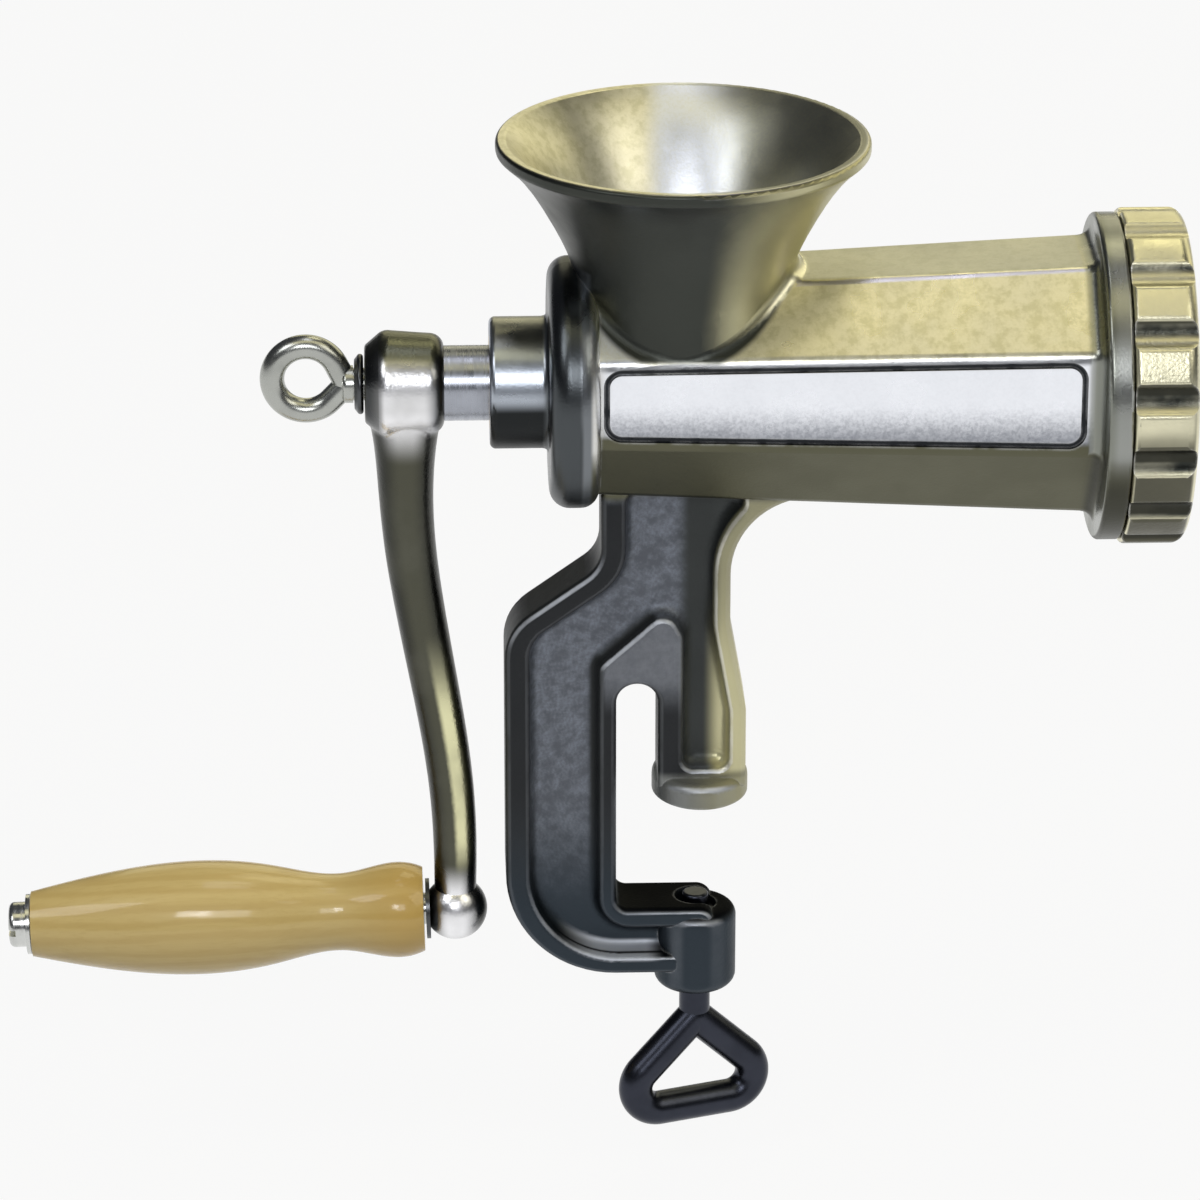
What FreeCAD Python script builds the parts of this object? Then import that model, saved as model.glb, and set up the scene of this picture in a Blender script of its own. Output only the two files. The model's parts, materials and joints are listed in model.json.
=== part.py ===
import FreeCAD
import Part

import math
import os

Vector = FreeCAD.Vector

# Hand crank meat grinder, in millimetres. The origin is the middle of the upper jaw's underside,
# +X runs along the barrel towards the outlet and +Z is up.

# Clearances
running_gap = 0.05          # radial gap of a shaft in its bearing
seat_gap = 0.02             # radial gap of a piece that is pressed or screwed home
face_gap = 0.3              # gap between pieces that move past each other
thread_gap = 0.3            # radial gap of a screw thread, drawn as plain cylinders
plate_gap = 0.2             # radial gap of the mincing plate in its seat
cut_extra = 1.0             # a cutting solid reaches this far past the face that it opens
tolerance = 0.01            # two places nearer than this are one

# Edges
cast_edge = 1.2             # rounding of a small cast edge
turned_edge = 0.8           # rounding of a machined edge
fine_edge = 0.4

# Barrel
axis_height = 108.0         # barrel axis above the jaw's underside
rear_wall_x = -25.0         # inner face of the barrel's rear wall
bore_length = 123.0         # from the rear wall to the knife's seat
bore_rear_radius = 21.5
bore_front_step = 4.7       # the plate's seat is this much wider, in radius, than the bore
barrel_top_wall = 6.0       # wall under the top flat at the collar
barrel_bottom_wall = 4.5    # wall over the bottom flat at the collar
barrel_side_wall = 3.4      # wall behind the side flats at the collar
barrel_rear_wall = 3.2      # wall behind the side flats at the rear flange
barrel_flat_half = 12.7     # at the collar, half the width of the top and bottom flats
side_flat_top = 15.6        # at the collar, upper edge of the side flats above the axis
side_flat_bottom = 9.4      # at the collar, lower edge of the side flats below the axis
barrel_edge_round = 4.0
collar_fillet = 3.4         # where the barrel's flats run out into the collar
panel_groove_width = 1.5    # groove round the panel on each side flat
panel_groove_depth = 0.7
panel_inset = 1.3           # from the upper and lower edges of the side flat to the groove
panel_end_gap = 0.7         # from the flange, or from the collar's fillet, to the groove
panel_corner_round = 4.5

# Rear flange and bearing boss
flange_radius = 30.8
flange_thickness = 12.1
flange_lap = 0.4            # the flange reaches this far in front of the rear wall
flange_round = 5.0
flange_front_round = 4.5
bearing_boss_wall = 4.45    # round the bush
bearing_boss_length = 14.3
bearing_boss_round = 1.5

# Hopper
hopper_x = -4.0
hopper_rim_height = 62.0    # above the barrel axis
hopper_rim_radius = 45.2
hopper_rim_depth = 2.8
hopper_flare_radius = 34.0  # outer radius at the middle of the flare
hopper_flare_drop = 16.5    # depth of that point below the rim
hopper_neck_radius = 25.6
hopper_neck_drop = 36.0
hopper_wall = 4.0
hopper_rim_wall = 2.4       # thickness of the rim at its top
hopper_rim_round = 1.1      # rim's edges, above and below
hopper_rim_slope = 0.75     # drop over run of the flare just under the rim
hopper_fillet = 3.0         # where the neck runs out into the barrel

# Feed screw, bush and thrust washer
journal_radius = 9.2
bush_wall = 2.4
washer_thickness = 2.0
thrust_washer_radius = 19.0
flight_clearance = 0.8
flight_pitch = 36.0
flight_root_width = 7.0
flight_tip_width = 3.5
flight_sink = 2.0           # depth of the flight's root inside the core
screw_rear_core = 10.5
screw_front_core = 13.5
screw_core_round = 2.0
screw_disc_thickness = 4.0
screw_edge = 1.0
tang_width = 12.0
tang_short = 1.8            # the tang ends this far inside the crank's hub

# Knife, plate, key and ring
stud_radius = 6.0
stud_depth = 14.0
stud_square = 10.0
stud_pin_radius = 4.5
knife_thickness = 7.4
knife_gap = 2.8             # radial gap between the blades' ends and the plate's seat
knife_hub_radius = 10.0
knife_blades = 4
blade_root_half = 5.2
blade_tip_half = 3.6
blade_sweep = 5.0           # the blades' ends trail by this much
blade_land = 1.5            # height of the cutting edge's flat
blade_bevel = 7.2           # width of the bevel behind the cutting edge
blade_bevel_start = 7.0     # radius at which the bevel starts
plate_radius = 31.0
plate_thickness = 6.0
plate_hole_radius = 3.0
plate_first_ring = 8.6      # radius of the innermost ring of holes
plate_ring_step = 7.2
plate_ring_holes = 6        # in the first ring, and this many more in each further ring
plate_margin = 4.8          # least distance from a ring of holes to the plate's edge
plate_proud = 1.0           # the plate stands out of the spigot so that the ring presses on it
key_radius = 2.0
key_length = 9.0
spigot_wall = 5.8
collar_step = 3.0           # the collar stands this much out of the spigot
collar_thickness = 6.0
collar_lap = 2.0            # the collar starts this far behind the knife's seat
ring_wall = 3.7
ring_lip = 5.4
ring_lap = 3.5              # the ring's lip covers this much of the plate's edge
ring_mouth_bevel = 1.5
ring_round = 3.0
ring_lobes = 16
ring_groove_radius = 4.5
ring_groove_depth = 2.0
ring_lobe_round = 1.8

# Crank
crank_radius = 140.6        # barrel axis to grip axle
journal_reach = 11.0        # bare journal between the bearing boss and the crank hub
hub_length = 19.3
hub_radius = 13.2
hub_round = 3.5
hub_nose = 4.5              # length of the taper at the hub's outer end
hub_nose_step = 3.8
hub_back_step = 1.2
hub_fillet = 3.0            # where the arm runs out into the hub
crank_offset = 11.2         # the grip end stands this much nearer the frame than the hub
arm_upper_width = 13.4
arm_lower_width = 10.4
arm_depth_ratio = 1.05      # depth of the arm over its width
arm_flare = 4.5             # extra width where the arm leaves the hub
arm_flare_height = 6.0
arm_lean_start = 25.0       # below the barrel axis, where the arm starts to lean
arm_lean_end = 18.0         # above the ball's centre, where it stops
arm_sink = 0.6              # the arm's ends lie at this share of the hub's and ball's radii
arm_sections = 9
ball_radius = 8.0
ball_face = 6.4             # flat on the ball, from its centre to the grip's inner washer
ball_back_wall = 2.0        # left at the blind end of the axle's hole

# Thumb screw
thumb_screw_radius = 4.0
thumb_screw_length = 14.0
thumb_hole_spare = 3.0      # the hole is this much deeper than the screw
thumb_washer_radius = 9.0
thumb_washer_top_radius = 6.0
thumb_washer_thickness = 2.2
eye_wire_radius = 3.0
eye_radius = 8.2            # middle line of the wire
eye_reach = 14.4            # hub face to the middle of the eye
eye_tilt = 9.0              # degrees that the eye leans up from the screw's axis
eye_neck_step = 0.6         # the neck is this much thicker, in radius, than the screw
eye_neck_length = 2.6
eye_neck_round = 1.0
eye_root = 1.0              # the eye's wire starts this far inside the neck

# Grip
grip_length = 98.6
grip_droop = 1.6            # degrees that the grip drops towards its outer end
grip_profile = (            # share of the length from the outer end, and the radius there
    (0.0, 8.2), (0.14, 11.2), (0.40, 14.3), (0.62, 12.4), (0.80, 9.8), (0.945, 12.0), (1.0, 10.6),
)
grip_axle_radius = 4.0
grip_washer_radius = 7.6
grip_washer_thickness = 1.0
axle_head_radius = 5.7
axle_head_thickness = 4.4
axle_head_round = 1.4
axle_end_gap = 1.0          # between the axle's end and the bottom of its hole
axle_slot_width = 1.6
axle_slot_depth = 1.8

# C-frame
frame_depth = 18.0          # across the rims
frame_web = 8.0
frame_rim = 5.4
pocket_shift = 0.9          # the pockets lie nearer the leg by this much
frame_round = 2.0
frame_root = 4.6            # the frame runs this far up into the barrel
pocket_round = 3.2          # where the web runs out into the rim
pocket_corner = 2.6         # corners of the pocket's outline
column_outer_x = -47.8
column_inner_x = -20.2
neck_outer_x = -24.0
neck_round = 9.0
neck_shoulder_z = 62.5
column_shoulder_z = 45.5
column_corner_round = 27.5
shoulder_round = 14.0
slot_width = 10.3
slot_top_z = 31.0
pad_low_z = 36.0            # raised pad over the slot, lower end of its sloping edge
pad_high_x = -7.6           # upper end of that edge
pad_high_z = 51.4
pad_round = 4.0
leg_waist_x = 7.9
leg_waist_z = 47.0
leg_foot_x = 12.0
leg_foot_z = 24.0
leg_round = 12.0
leg_neck_round = 20.0       # where the leg flares into the barrel
slot_end_flat = 0.2         # flat left between the two rounded corners of the slot's end
arm_top_z = -30.0
arm_bottom_z = -48.0
arm_end_x = 4.5
arm_end_round = 4.0
arm_inner_round = 3.0       # corner of the arm and the column
foot_x = 0.9                # middle of the jaw foot
foot_length = 24.0
foot_width = 30.0
foot_thickness = 6.0
foot_round = 2.4

# Clamp screw
clamp_boss_wall = 5.0
clamp_boss_top_z = -32.0
clamp_boss_bottom_z = -54.0
clamp_boss_round = 3.2
clamp_screw_radius = 5.0
clamp_thread_reach = 1.0    # thread left below the boss at rest
clamp_neck_step = 1.1       # the neck is this much thinner, in radius, than the thread
clamp_neck_root = 2.0       # the neck runs this far into the loop
clamp_neck_length = 4.4
clamp_tip_radius = 3.3
clamp_tip_z = -29.0
clamp_tip_overlap = 1.2     # depth of the tip's foot inside the boss at rest
clamp_pin_radius = 1.6
clamp_pin_length = 2.4
loop_rod_radius = 4.3
loop_half_width = 25.6      # middle line, to the sharp corner
loop_height = 24.6          # middle line, from the apex to the lower bar
loop_corner_round = 6.5
loop_turn = 19.0            # degrees that the loop is turned from the barrel's plane

# Places worked out from the sizes above
seat_x = rear_wall_x + bore_length
collar_x = seat_x - collar_lap
spigot_x = collar_x + collar_thickness
screw_rear_x = rear_wall_x + washer_thickness + 2 * seat_gap
screw_front_x = seat_x + face_gap
knife_x = screw_front_x + seat_gap
plate_x = knife_x + knife_thickness + face_gap
plate_front_x = plate_x + plate_thickness
spigot_front_x = plate_front_x - plate_proud
seat_radius = plate_radius + plate_gap
bore_front_radius = seat_radius - bore_front_step
knife_radius = seat_radius - knife_gap
spigot_radius = seat_radius + spigot_wall
collar_radius = spigot_radius + collar_step
ring_bore_radius = spigot_radius + thread_gap
ring_radius = ring_bore_radius + ring_wall
ring_opening_radius = plate_radius - ring_lap
barrel_top = bore_front_radius + barrel_top_wall
barrel_bottom = bore_front_radius + barrel_bottom_wall
barrel_half_width = bore_front_radius + barrel_side_wall
barrel_taper = (bore_rear_radius + barrel_rear_wall) / barrel_half_width
bush_bore_radius = journal_radius + running_gap
bush_radius = bush_bore_radius + bush_wall
bearing_boss_radius = bush_radius + seat_gap + bearing_boss_wall
clamp_bore_radius = clamp_screw_radius + thread_gap
clamp_boss_radius = clamp_bore_radius + clamp_boss_wall
ring_rear_x = spigot_x + face_gap
ring_lip_x = plate_front_x + face_gap
ring_front_x = ring_lip_x + ring_lip
flange_x = rear_wall_x - flange_thickness + flange_lap
mid_flange_x = flange_x + flange_thickness / 2
boss_x = flange_x - bearing_boss_length
hub_right_x = boss_x - journal_reach
hub_left_x = hub_right_x - hub_length
hub_middle_x = (hub_left_x + hub_right_x) / 2
ball_x = hub_middle_x + crank_offset
ball_z = axis_height - crank_radius
frame_half = frame_depth / 2
hopper_rim_z = axis_height + hopper_rim_height

axis_x = Vector(1, 0, 0)
axis_y = Vector(0, 1, 0)
axis_z = Vector(0, 0, 1)
barrel_point = Vector(0, 0, axis_height)
ball_point = Vector(ball_x, 0, ball_z)


def rod(radius, x0, x1, y=0.0, z=axis_height):
    return Part.makeCylinder(radius, x1 - x0, Vector(x0, y, z), axis_x)


def tube(inner, outer, x0, x1):
    return rod(outer, x0, x1).cut(rod(inner, x0 - cut_extra, x1 + cut_extra))


def post(radius, z0, z1, x=0.0):
    return Part.makeCylinder(radius, z1 - z0, Vector(x, 0, z0), axis_z)


def square_bar(width, x0, x1):
    corner = Vector(x0, -width / 2, axis_height - width / 2)
    return Part.makeBox(x1 - x0, width, width, corner)


def closed_face(edges):
    return Part.Face(Part.Wire(Part.__sortEdges__(edges)))


def line(a, b):
    return Part.LineSegment(a, b).toShape()


def rounded_path(corners, closed):
    """Lines through the corners, with a tangent arc of the given radius at each."""
    count = len(corners)
    points = []
    for i, (place, radius) in enumerate(corners):
        inner = closed or 0 < i < count - 1
        if not inner or radius == 0:
            points.append((place, None, place))
            continue
        before = (corners[i - 1][0] - place).normalize()
        after = (corners[(i + 1) % count][0] - place).normalize()
        half = before.getAngle(after) / 2
        reach = radius / math.tan(half)
        bisector = (before + after).normalize()
        middle = place + bisector * (radius / math.sin(half) - radius)
        points.append((place + before * reach, middle, place + after * reach))
    edges = []
    for i, (start, middle, end) in enumerate(points):
        if middle is not None:
            edges.append(Part.Arc(start, middle, end).toShape())
        if closed or i < count - 1:
            following = points[(i + 1) % count][0]
            if (following - end).Length > tolerance:
                edges.append(line(end, following))
    return edges


def turned(profile, centre, axis):
    """A closed profile turned round an axis."""
    return closed_face(profile).revolve(centre, axis, 360)


def turned_on_barrel(corners):
    """(x, radius, rounding) corners turned round the barrel axis."""
    places = [(Vector(x, 0, axis_height + r), rounding) for x, r, rounding in corners]
    return turned(rounded_path(places, True), barrel_point, axis_x)


def bent_rod(radius, corners):
    """A round rod along a path with rounded corners."""
    path = Part.Wire(rounded_path(corners, False))
    start = corners[0][0]
    direction = corners[1][0] - start
    ring = Part.Wire(Part.Circle(start, direction, radius).toShape())
    return path.makePipeShell([ring], True, False)


def rod_loop(radius, apex, corner, rounding, centre):
    """A closed loop of round rod from an apex, round two mirrored corners and back."""
    half_turn = FreeCAD.Placement(Vector(0, 0, 0), FreeCAD.Rotation(apex - centre, 180), centre)
    far = (corner + half_turn.multVec(corner)) / 2
    half = bent_rod(radius, [(apex, 0), (corner, rounding), (far, 0)])
    other = half.copy()
    other.rotate(centre, apex - centre, 180)
    return half.fuse(other).fuse(Part.makeSphere(radius, apex))


def rounded(shape, radius, wanted):
    edges = [edge for edge in shape.Edges if wanted(edge)]
    return shape.makeFillet(radius, edges)


def barrel_scale(x):
    """Size of the barrel's section over its size at the collar."""
    slope = (1 - barrel_taper) / (collar_x - mid_flange_x)
    return 1 + (x - collar_x) * slope


def barrel_underside(x):
    return axis_height - barrel_bottom * barrel_scale(x)


def octagon(x, inset):
    """The barrel's eight-sided section, with its side flats moved in by the inset."""
    half = [(barrel_flat_half, barrel_top), (barrel_half_width, side_flat_top),
            (barrel_half_width, -side_flat_bottom), (barrel_flat_half, -barrel_bottom)]
    ring = half + [(-y, z) for y, z in reversed(half)]
    scale = barrel_scale(x)
    limit = barrel_half_width * scale - inset
    points = [Vector(x, max(-limit, min(limit, y * scale)), axis_height + z * scale) for y, z in ring]
    return Part.makePolygon(points + points[:1])


def barrel_prism(inset):
    """Eight-sided prism that tapers towards the rear, long enough to carry the whole hopper."""
    front_x = collar_x + collar_thickness / 2
    return Part.makeLoft([octagon(x, inset) for x in (boss_x, front_x)], True, True)


def barrel_shell():
    return rounded(barrel_prism(0), barrel_edge_round, lambda edge: edge.BoundBox.XLength > bore_length)


def panel_outline(inset):
    """Rounded outline of the side panels, drawn in front of the barrel."""
    x0 = flange_x + flange_thickness + panel_end_gap + inset
    x1 = collar_x - collar_fillet - panel_end_gap - inset
    margin = panel_inset + inset
    lower = [(x, margin - side_flat_bottom * barrel_scale(x)) for x in (x0, x1)]
    upper = [(x, side_flat_top * barrel_scale(x) - margin) for x in (x1, x0)]
    rounding = panel_corner_round - inset
    corners = [(Vector(x, -collar_radius, axis_height + z), rounding) for x, z in lower + upper]
    return closed_face(rounded_path(corners, True))


def panel_grooves():
    """Grooves round the two side panels, of one depth along the tapered flats."""
    band = panel_outline(0).cut(panel_outline(panel_groove_width))
    return band.extrude(axis_y * 2 * collar_radius).cut(barrel_prism(panel_groove_depth))


def rear_turning():
    """Bearing boss and flange behind the barrel."""
    flange_front = flange_x + flange_thickness
    return turned_on_barrel([
        (boss_x, 0, 0),
        (boss_x, bearing_boss_radius, bearing_boss_round),
        (flange_x, bearing_boss_radius, bearing_boss_round),
        (flange_x, flange_radius, flange_round),
        (flange_front, flange_radius, flange_front_round),
        (flange_front, 0, 0),
    ])


def front_turning():
    """Collar and threaded spigot in front of the barrel."""
    return turned_on_barrel([
        (collar_x, 0, 0),
        (collar_x, collar_radius, cast_edge),
        (spigot_x, collar_radius, turned_edge),
        (spigot_x, spigot_radius, fine_edge),
        (spigot_front_x, spigot_radius, turned_edge),
        (spigot_front_x, 0, 0),
    ])


def hopper_form(inset, rim_radius, rim_z, top_z):
    """The funnel's outer form, or its inner form when inset by the wall."""
    neck_x = hopper_x + hopper_neck_radius - inset
    rim = Vector(hopper_x + rim_radius, 0, rim_z)
    flare = Vector(hopper_x + hopper_flare_radius - inset, 0, hopper_rim_z - hopper_flare_drop)
    neck = Vector(neck_x, 0, hopper_rim_z - hopper_neck_drop)
    foot = Vector(neck_x, 0, axis_height)
    curve = Part.BSplineCurve()
    under_rim = Vector(-1, 0, -hopper_rim_slope)
    curve.interpolate(Points=[rim, flare, neck, foot], InitialTangent=under_rim, FinalTangent=-axis_z)
    top = Vector(rim.x, 0, top_z)
    top_middle = Vector(hopper_x, 0, top_z)
    foot_middle = Vector(hopper_x, 0, axis_height)
    profile = [curve.toShape(), line(foot, foot_middle), line(foot_middle, top_middle), line(top_middle, top)]
    profile.append(line(top, rim))
    return turned(profile, Vector(hopper_x, 0, 0), axis_z)


def hopper_outside():
    return hopper_form(0, hopper_rim_radius, hopper_rim_z - hopper_rim_depth, hopper_rim_z)


def hopper_inside():
    rim_radius = hopper_rim_radius - hopper_rim_wall
    return hopper_form(hopper_wall, rim_radius, hopper_rim_z, hopper_rim_z + cut_extra)


def on_hopper_neck(edge):
    """True for an edge that runs round the neck where it meets the barrel."""
    ends = [vertex.Point for vertex in edge.Vertexes]
    reach = [math.hypot(point.x - hopper_x, point.y) for point in ends]
    beside = min(reach) > hopper_neck_radius - hopper_wall and max(reach) < hopper_neck_radius + hopper_wall
    return beside and all(tolerance < point.z - axis_height < barrel_top for point in ends)


def on_collar_face(edge):
    """True for an edge of the barrel's section on the collar's rear face."""
    flat = abs(edge.BoundBox.XMin - collar_x) < tolerance and edge.BoundBox.XLength < tolerance
    reach = [math.hypot(vertex.Point.y, vertex.Point.z - axis_height) for vertex in edge.Vertexes]
    return flat and max(reach) < collar_radius - 2 * cast_edge


def on_hopper_rim(edge):
    """True for the rim's two upper edges and for the one under its outside."""
    level = edge.BoundBox.ZLength < tolerance
    return level and edge.BoundBox.ZMin > hopper_rim_z - hopper_rim_depth - tolerance


def barrel():
    """Barrel, hopper and collar with the casting's fillets between them."""
    solid = rounded(barrel_shell().fuse(hopper_outside()), hopper_fillet, on_hopper_neck)
    solid = solid.cut(rod(flange_radius, boss_x - cut_extra, mid_flange_x))
    return rounded(solid.fuse(front_turning()), collar_fillet, on_collar_face)


def frame_outline():
    inside = barrel_underside(mid_flange_x) + frame_root
    flare_x = leg_waist_x + leg_neck_round
    flare_z = barrel_underside(flare_x)
    slot_right = column_inner_x + slot_width
    slot_end_round = (slot_width - slot_end_flat) / 2
    corners = [
        (neck_outer_x, inside, 0),
        (neck_outer_x, neck_shoulder_z, neck_round),
        (column_outer_x, column_shoulder_z, shoulder_round),
        (column_outer_x, arm_bottom_z, column_corner_round),
        (arm_end_x, arm_bottom_z, 0),
        (arm_end_x, arm_top_z, arm_end_round),
        (column_inner_x, arm_top_z, arm_inner_round),
        (column_inner_x, slot_top_z, slot_end_round),
        (slot_right, slot_top_z, slot_end_round),
        (slot_right, foot_thickness / 2, 0),
        (leg_foot_x, foot_thickness / 2, 0),
        (leg_foot_x, leg_foot_z, leg_round),
        (leg_waist_x, leg_waist_z, leg_round),
        (leg_waist_x, flare_z, leg_neck_round),
        (flare_x + leg_neck_round, flare_z, 0),
        (flare_x + leg_neck_round, inside, 0),
    ]
    return [(Vector(x, -frame_half, z), radius) for x, z, radius in corners]


def slot_pad():
    """Raised pad between the slot and a sloping edge above it."""
    left_x = column_inner_x - frame_rim + pocket_shift
    right_x = column_inner_x + slot_width + frame_rim + pocket_shift
    shoulder_z = pad_low_z + (pad_high_z - pad_low_z) / 2
    edge = [(left_x, pad_low_z), (pad_high_x, pad_high_z), (right_x, shoulder_z)]
    corners = [(left_x, 0, 0)] + [(x, z, pad_round) for x, z in edge] + [(right_x, 0, 0)]
    path = rounded_path([(Vector(x, -frame_half, z), rounding) for x, z, rounding in corners], True)
    return closed_face(path).extrude(axis_y * frame_depth)


def frame_pocket(outline):
    """Pocket in the near side of the frame, inside its rim and clear of the pad over the slot."""
    floor = Part.Face(outline).makeOffset2D(-frame_rim - pocket_corner).makeOffset2D(pocket_corner)
    floor.translate(axis_x * pocket_shift)
    pocket = floor.extrude(axis_y * (frame_depth - frame_web) / 2).cut(slot_pad()).removeSplitter()
    return rounded(pocket, pocket_round, lambda edge: edge.BoundBox.YMin > -frame_web / 2 - tolerance)


def frame():
    """C-frame: a flat web with a rounded rim round its whole outline."""
    outline = Part.Wire(Part.__sortEdges__(rounded_path(frame_outline(), True)))
    plate = Part.Face(outline).extrude(axis_y * frame_depth)
    near = frame_pocket(outline)
    plate = plate.cut(near).cut(near.mirror(Vector(0, 0, 0), axis_y))
    return rounded(plate, frame_round, on_frame_face)


def on_frame_face(edge):
    """True for an edge of the rim's flat faces, round the outside or round a pocket."""
    return edge.BoundBox.YLength < tolerance and abs(edge.BoundBox.YMin) > frame_half - tolerance


def jaw_foot():
    """Oval foot whose underside bears on the table."""
    outline = Part.Ellipse(Vector(foot_x, 0, 0), foot_width / 2, foot_length / 2).toShape()
    outline.rotate(Vector(foot_x, 0, 0), axis_z, 90)
    foot = Part.Face(Part.Wire(outline)).extrude(axis_z * foot_thickness)
    return rounded(foot, foot_round, lambda edge: edge.BoundBox.ZMin > foot_thickness - tolerance)


def bore_cone(inset):
    """The barrel's tapered bore, or the worm's outer form when inset by its clearance."""
    rear = Vector(rear_wall_x, 0, axis_height)
    return Part.makeCone(bore_rear_radius - inset, bore_front_radius - inset, bore_length, rear, axis_x)


def body_casting():
    solid = barrel()
    for piece in (rear_turning(), frame(), jaw_foot()):
        solid = solid.fuse(piece)
    boss = post(clamp_boss_radius, clamp_boss_bottom_z, clamp_boss_top_z)
    solid = solid.fuse(rounded(boss, clamp_boss_round, lambda edge: edge.BoundBox.ZLength < tolerance))
    cuts = [
        bore_cone(0),
        rod(seat_radius, seat_x, spigot_front_x + cut_extra),
        hopper_inside(),
        rod(bush_radius + seat_gap, boss_x - cut_extra, rear_wall_x + cut_extra),
        key_rod(seat_gap, cut_extra),
        panel_grooves(),
        post(clamp_bore_radius, clamp_boss_bottom_z - cut_extra, arm_top_z + cut_extra),
    ]
    for cut in cuts:
        solid = solid.cut(cut)
    return rounded(solid.removeSplitter(), hopper_rim_round, on_hopper_rim)


def key_rod(gap, extra):
    x0 = spigot_front_x - key_length
    return rod(key_radius + gap, x0 - gap, spigot_front_x + extra, 0.0, axis_height - seat_radius)


def plate_key():
    return key_rod(0.0, 0.0)


def rear_bush():
    return tube(bush_bore_radius, bush_radius, boss_x, rear_wall_x)


def thrust_washer():
    x0 = rear_wall_x + seat_gap
    return tube(journal_radius + face_gap, thrust_washer_radius, x0, x0 + washer_thickness)


def flight():
    """The worm's helical flight, thick at its root and thin at its tip."""
    x0 = screw_rear_x + screw_disc_thickness
    x1 = screw_front_x - flight_root_width
    root = screw_rear_core - flight_sink
    root_half = flight_root_width / 2
    tip_half = flight_tip_width / 2
    tip = bore_front_radius
    corners = [(-root_half, root), (-tip_half, tip), (tip_half, tip), (root_half, root)]
    section = [Vector(along, 0, radius) for along, radius in corners]
    path = Part.makeHelix(flight_pitch, x1 - x0, root)
    path.Placement = FreeCAD.Placement(Vector(0, 0, 0), FreeCAD.Rotation(axis_y, 90))
    start = path.OrderedVertexes[0].Point
    profile = Part.makePolygon(section + section[:1])
    profile.rotate(Vector(0, 0, 0), axis_x, math.degrees(math.atan2(-start.y, start.z)))
    swept = path.makePipeShell([profile], True, True)
    swept.translate(Vector(x0, 0, axis_height))
    return swept.common(bore_cone(flight_clearance))


def feed_screw():
    disc_radius = bore_rear_radius - flight_clearance
    disc_front_x = screw_rear_x + screw_disc_thickness
    tang_x = hub_left_x + tang_short
    core = turned_on_barrel([
        (tang_x, 0, 0),
        (tang_x, journal_radius, 0),
        (screw_rear_x, journal_radius, 0),
        (screw_rear_x, disc_radius, screw_edge),
        (disc_front_x, disc_radius, screw_edge),
        (disc_front_x, screw_rear_core, screw_core_round),
        (screw_front_x, screw_front_core, screw_edge),
        (screw_front_x, 0, 0),
    ])
    round_zone = rod(journal_radius + cut_extra, hub_left_x, hub_right_x)
    core = core.cut(round_zone.cut(square_bar(tang_width, hub_left_x - cut_extra, hub_right_x + cut_extra)))
    core = core.cut(rod(stud_radius + seat_gap, screw_front_x - stud_depth, screw_front_x + cut_extra))
    hole_end_x = hub_left_x + thumb_screw_length + thumb_hole_spare
    core = core.cut(rod(thumb_screw_radius + thread_gap, hub_left_x, hole_end_x))
    return core.fuse(flight())


def knife_stud():
    thread = rod(stud_radius, screw_front_x - stud_depth, screw_front_x)
    square = square_bar(stud_square, screw_front_x, plate_x - face_gap)
    pin = rod(stud_pin_radius, plate_x - face_gap, plate_front_x)
    return thread.fuse(square).fuse(pin).removeSplitter()


def knife_blade():
    """One blade, flat against the plate, with a bevel behind its cutting edge."""
    outline = [(0, blade_root_half), (knife_radius, blade_tip_half - blade_sweep),
               (knife_radius, -blade_tip_half - blade_sweep), (0, -blade_root_half)]
    points = [Vector(knife_x, across, axis_height + out) for out, across in outline]
    blade = Part.Face(Part.makePolygon(points + points[:1])).extrude(axis_x * knife_thickness)
    edge_y = blade_bevel - blade_sweep / 3
    back_y = -blade_sweep / 3
    start_z = axis_height + blade_bevel_start
    land_x = knife_x + knife_thickness - blade_land
    bevel = [(knife_x, edge_y), (land_x, edge_y), (knife_x, back_y)]
    corners = [Vector(x, y, start_z) for x, y in bevel]
    wedge = Part.Face(Part.makePolygon(corners + corners[:1])).extrude(axis_z * knife_radius)
    return blade.cut(wedge)


def cutting_knife():
    x1 = knife_x + knife_thickness
    solid = rod(knife_hub_radius, knife_x, x1)
    for i in range(knife_blades):
        blade = knife_blade()
        blade.rotate(barrel_point, axis_x, i * 360.0 / knife_blades)
        solid = solid.fuse(blade)
    solid = solid.common(rod(knife_radius, knife_x, x1))
    square = square_bar(stud_square + 2 * seat_gap, knife_x - cut_extra, x1 + cut_extra)
    return solid.cut(square).removeSplitter()


def mincing_plate():
    x0 = plate_x - cut_extra
    x1 = plate_front_x + cut_extra
    holes = [
        rod(stud_pin_radius + running_gap, x0, x1),
        rod(key_radius + face_gap, x0, x1, 0.0, axis_height - seat_radius),
    ]
    radius = plate_first_ring
    count = plate_ring_holes
    while radius + plate_margin < plate_radius:
        for y, z in ring_places(count, radius, 0.0):
            holes.append(rod(plate_hole_radius, x0, x1, y, z))
        radius += plate_ring_step
        count += plate_ring_holes
    return rod(plate_radius, plate_x, plate_front_x).cut(Part.makeCompound(holes))


def ring_places(count, radius, first):
    """Places evenly spaced round the barrel axis, the first one a share of a step past the top."""
    angles = [2 * math.pi * (i + first) / count for i in range(count)]
    return [(radius * math.sin(angle), axis_height + radius * math.cos(angle)) for angle in angles]


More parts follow.
